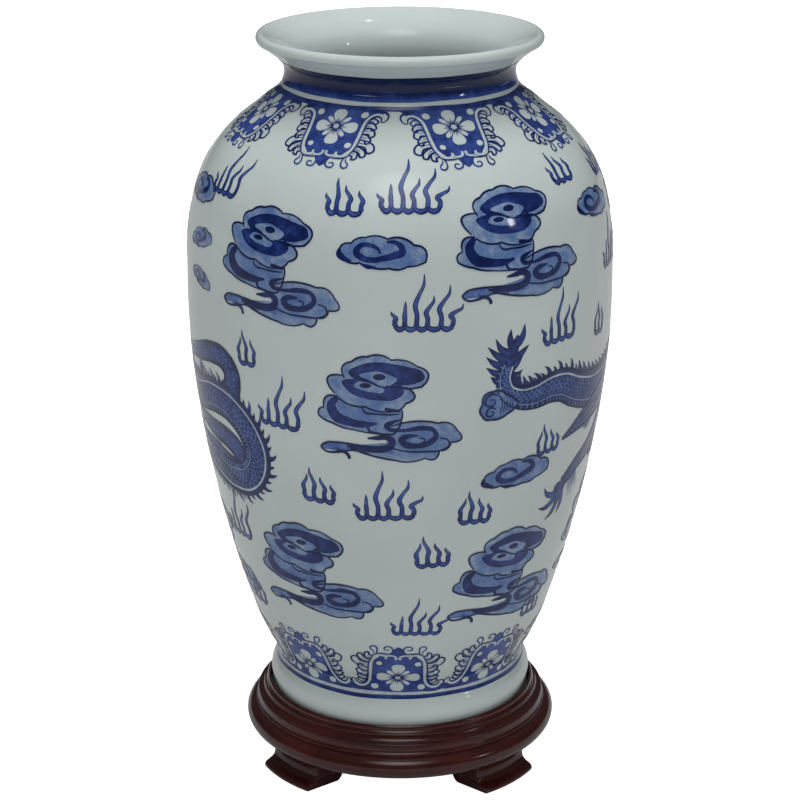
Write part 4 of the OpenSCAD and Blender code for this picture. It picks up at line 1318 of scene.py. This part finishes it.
class PORCELAIN_OT_feet(bpy.types.Operator):
    """Carves the four bracket feet: a turned outline between two flat sides"""

    bl_idname = "porcelain.feet"
    bl_label = "Feet"

    def execute(self, context):
        form = context.scene.porcelain_form
        half, worn = form.foot_width / MM / 2, form.edge_round / MM
        steps = np.radians(np.linspace(0, 90, 4))
        edge_w, edge_in = half - worn * (1 - np.sin(steps)), worn * (1 - np.cos(steps))
        wide = np.linspace(-half + worn, half - worn, 13)[1:-1]
        w = np.concatenate([-edge_w[::-1], wide, edge_w])
        inset = np.concatenate([edge_in[::-1], np.zeros(len(wide)), edge_in])
        outer, inner = smooth_line(FOOT_OUTER, 3), smooth_line(FOOT_INNER, 3)
        loop = np.vstack([outer, inner[::-1]])
        middle_r = (outer[:, 0] + inner[:, 0]) / 2
        middle = np.stack([np.concatenate([middle_r, middle_r[::-1]]), np.full(len(loop), FOOT_MIDDLE_Z)], 1)
        pull = (loop - middle) / np.abs(loop - middle).max(0)
        grid = loop[None] - pull[None] * inset[:, None, None]
        r, z = grid[..., 0], grid[..., 1]
        reach = np.sqrt(np.maximum(r**2 - w[:, None] ** 2, 1.0))
        flat = np.stack([reach, np.broadcast_to(w[:, None], reach.shape), z], -1).reshape(-1, 3)
        n, rows, columns = len(outer), len(w), len(loop)
        faces = grid_faces(rows, columns, False, True).tolist()
        k = np.arange(n - 1)
        cap = np.stack([columns - 1 - k, columns - 2 - k, k + 1, k], 1)
        faces += cap.tolist() + (cap[:, ::-1] + (rows - 1) * columns).tolist()
        for name, angle in FEET.items():
            a = math.radians(angle - 90)
            turned = flat.copy()
            turned[:, 0] = flat[:, 0] * math.cos(a) - flat[:, 1] * math.sin(a)
            turned[:, 1] = flat[:, 0] * math.sin(a) + flat[:, 1] * math.cos(a)
            new_piece("stand_foot_" + name, turned, faces, "stand", "lacquered_wood", ("foot_" + name,))
        return {"FINISHED"}


class PORCELAIN_OT_felt(bpy.types.Operator):
    """Cuts the felt mat in the seat and the felt pads under the feet"""

    bl_idname = "porcelain.felt"
    bl_label = "Felt mat and pads"

    def execute(self, context):
        mat = felt_disc("felt_seat_mat", "felt_mat", "mat", 0.008, 1.0, (0, 0))
        for k, name in enumerate(FEET):
            felt_disc("felt_pad_" + name, "pad_" + name, "stand", 0.03, 1.0 + k)
        return {"FINISHED"}


class PORCELAIN_OT_fixings(bpy.types.Operator):
    """Gives the panel, screws and dowels of the stand their wood and steel"""

    bl_idname = "porcelain.fixings"
    bl_label = "Panel and fixings"

    def execute(self, context):
        slots = {"floor_panel": "bare_wood", "foot_dowels": "bare_wood", "foot_screws": "screw_steel"}
        for node, slot in slots.items():
            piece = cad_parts[node]
            piece.data.materials.clear()
            piece.data.materials.append(finish_for(slot))
        return {"FINISHED"}


FLOOR_TINT = (0.68, 0.68, 0.68)
FLOOR_GLOW = 1.6
SKY_TINT = (0.97, 0.985, 1.0, 1)
# The way to the high light in y and z, where its edge starts, and how much of
# the room's other light the glaze and lacquer mirror
HIGH_WAY = (-0.574, 0.819)
HIGH_EDGE = 0.92
MIRRORED_SHARE = 0.3
SENSOR = 36
# Name, place, what it faces, width and height, power in W, seen in reflections
LAMPS = [
    ("spark_light", (0.42, 0.30, 2.2), (0, 0, 0.2), (0.09, 0.08), 1.4, True),
    ("window_light", (1.80, -0.94, 0.88), (0, 0, 0.3), (0.11, 0.2), 1.4, True),
    ("top_light", (0, -0.3, 2.3), (0, 0, 0.2), (1.8, 1.5), 26, False),
    ("back_floor_light", (0, 3.2, 2.6), (0, 2.8, 0), (4.0, 1.6), 30, False),
    ("front_light", (-0.3, -2.7, 0.85), (0, 0, 0.2), (0.9, 1.4), 12, False),
]


def stage_finish(name, tint, roughness):
    """A plain matt material with the faintest mottle, for the floor. It looks
    paler straight into the camera than it does to the things that stand on it."""
    material, tree = blank_material(name)
    where = add(tree, "TexCoord").outputs["Object"]
    tone = mix(tree, noise(tree, where, 2.0), rgba(tint, 0.985), rgba(tint))
    seen = add(tree, "LightPath").outputs["Is Camera Ray"]
    shade_with(tree, {"Base Color": tone, "Roughness": roughness, "Specular IOR Level": 0.1,
                      "Emission Color": tone, "Emission Strength": times(tree, seen, FLOOR_GLOW)})
    return material


def area_light(name, place, aim, size, power, mirrored):
    """A rectangular lamp at a place, turned to face another."""
    lamp = bpy.data.lights.new(name, "AREA")
    lamp.shape, lamp.energy = "RECTANGLE", power
    lamp.size, lamp.size_y = size
    piece = bpy.data.objects.new(name, lamp)
    bpy.context.scene.collection.objects.link(piece)
    away = np.subtract(place, aim)
    piece.location = place
    piece.rotation_euler = (math.atan2(math.hypot(away[0], away[1]), away[2]), 0, math.atan2(away[0], -away[1]))
    piece.visible_glossy = mirrored


def room(setup):
    """The light from all round, stronger towards the top and the front. What
    mirrors it sees less of it, and one soft high light above the front; the
    camera sees it paler."""
    world = bpy.data.worlds.new("Room")
    world.use_nodes = True
    tree = world.node_tree
    aim = add(tree, "SeparateXYZ", {0: add(tree, "TexCoord").outputs["Generated"]}).outputs
    above = maths(tree, "MAXIMUM", aim[2], 0.0)
    ahead = maths(tree, "MAXIMUM", times(tree, aim[1], -1.0), 0.0)
    level = plus(tree, setup.room_low, plus(tree, times(tree, above, setup.room_top),
                                            times(tree, ahead, setup.room_front)))
    towards = plus(tree, times(tree, aim[1], HIGH_WAY[0]), times(tree, aim[2], HIGH_WAY[1]))
    high = ramp(tree, towards, HIGH_EDGE, 1.0)
    mirrored_level = plus(tree, times(tree, level, MIRRORED_SHARE),
                          times(tree, times(tree, high, high), setup.room_high))
    path = add(tree, "LightPath").outputs
    level = first(tree, "Mix", {0: path["Is Glossy Ray"], 2: level, 3: mirrored_level})
    sky = tree.nodes["Background"]
    sky.inputs[0].default_value = SKY_TINT
    tree.links.new(plus(tree, level, path["Is Camera Ray"]), sky.inputs[1])
    return world


class PORCELAIN_OT_stage(bpy.types.Operator):
    """Lays the pale floor, the studio light and the camera"""

    bl_idname = "porcelain.stage"
    bl_label = "Stage"

    def execute(self, context):
        scene, setup = context.scene, context.scene.porcelain_stage
        half = setup.floor_size / 2
        mesh = bpy.data.meshes.new("floor")
        corners = [(-half, -half, 0), (half, -half, 0), (half, half, 0), (-half, half, 0)]
        mesh.from_pydata(corners, [], [(0, 1, 2, 3)])
        mesh.materials.append(stage_finish("Pale floor", FLOOR_TINT, 0.7))
        floor = bpy.data.objects.new("floor", mesh)
        scene.collection.objects.link(floor)
        for row in LAMPS:
            area_light(*row)
        scene.world = room(setup)
        lens = bpy.data.cameras.new("camera")
        lens.lens, lens.sensor_width = setup.lens, SENSOR
        camera = bpy.data.objects.new("camera", lens)
        scene.collection.objects.link(camera)
        camera.location = (0, -setup.distance, setup.height)
        camera.rotation_euler = (math.pi / 2 - setup.down, 0, 0)
        scene.camera = camera
        scene.view_settings.view_transform = "Standard"
        return {"FINISHED"}


OPERATORS = (PORCELAIN_OT_vase, PORCELAIN_OT_bands, PORCELAIN_OT_lappets, PORCELAIN_OT_clouds,
             PORCELAIN_OT_flames, PORCELAIN_OT_dragons, PORCELAIN_OT_stand, PORCELAIN_OT_feet,
             PORCELAIN_OT_felt, PORCELAIN_OT_fixings, PORCELAIN_OT_stage)
GROUPS = {"porcelain_form": PorcelainForm, "porcelain_finish": PorcelainFinish, "porcelain_stage": PorcelainStage}


class PORCELAIN_PT_panel(bpy.types.Panel):
    """The settings and the pieces, in the order they are made"""

    bl_label = "Porcelain"
    bl_idname = "PORCELAIN_PT_panel"
    bl_space_type = "VIEW_3D"
    bl_region_type = "UI"
    bl_category = "Porcelain"

    def draw(self, context):
        for name, group in GROUPS.items():
            box = self.layout.box()
            for field in group.__annotations__:
                box.prop(getattr(context.scene, name), field)
        for operator in OPERATORS:
            self.layout.operator(operator.bl_idname)


def register():
    for kind in (*GROUPS.values(), *OPERATORS, PORCELAIN_PT_panel):
        bpy.utils.register_class(kind)
    for name, group in GROUPS.items():
        setattr(bpy.types.Scene, name, bpy.props.PointerProperty(type=group))


def unregister():
    for name in GROUPS:
        delattr(bpy.types.Scene, name)
    for kind in reversed((*GROUPS.values(), *OPERATORS, PORCELAIN_PT_panel)):
        bpy.utils.unregister_class(kind)


def main():
    """Makes every piece and the stage."""
    register()
    for operator in OPERATORS:
        group, name = operator.bl_idname.split(".")
        getattr(getattr(bpy.ops, group), name)()


if __name__ == "__main__":
    main()
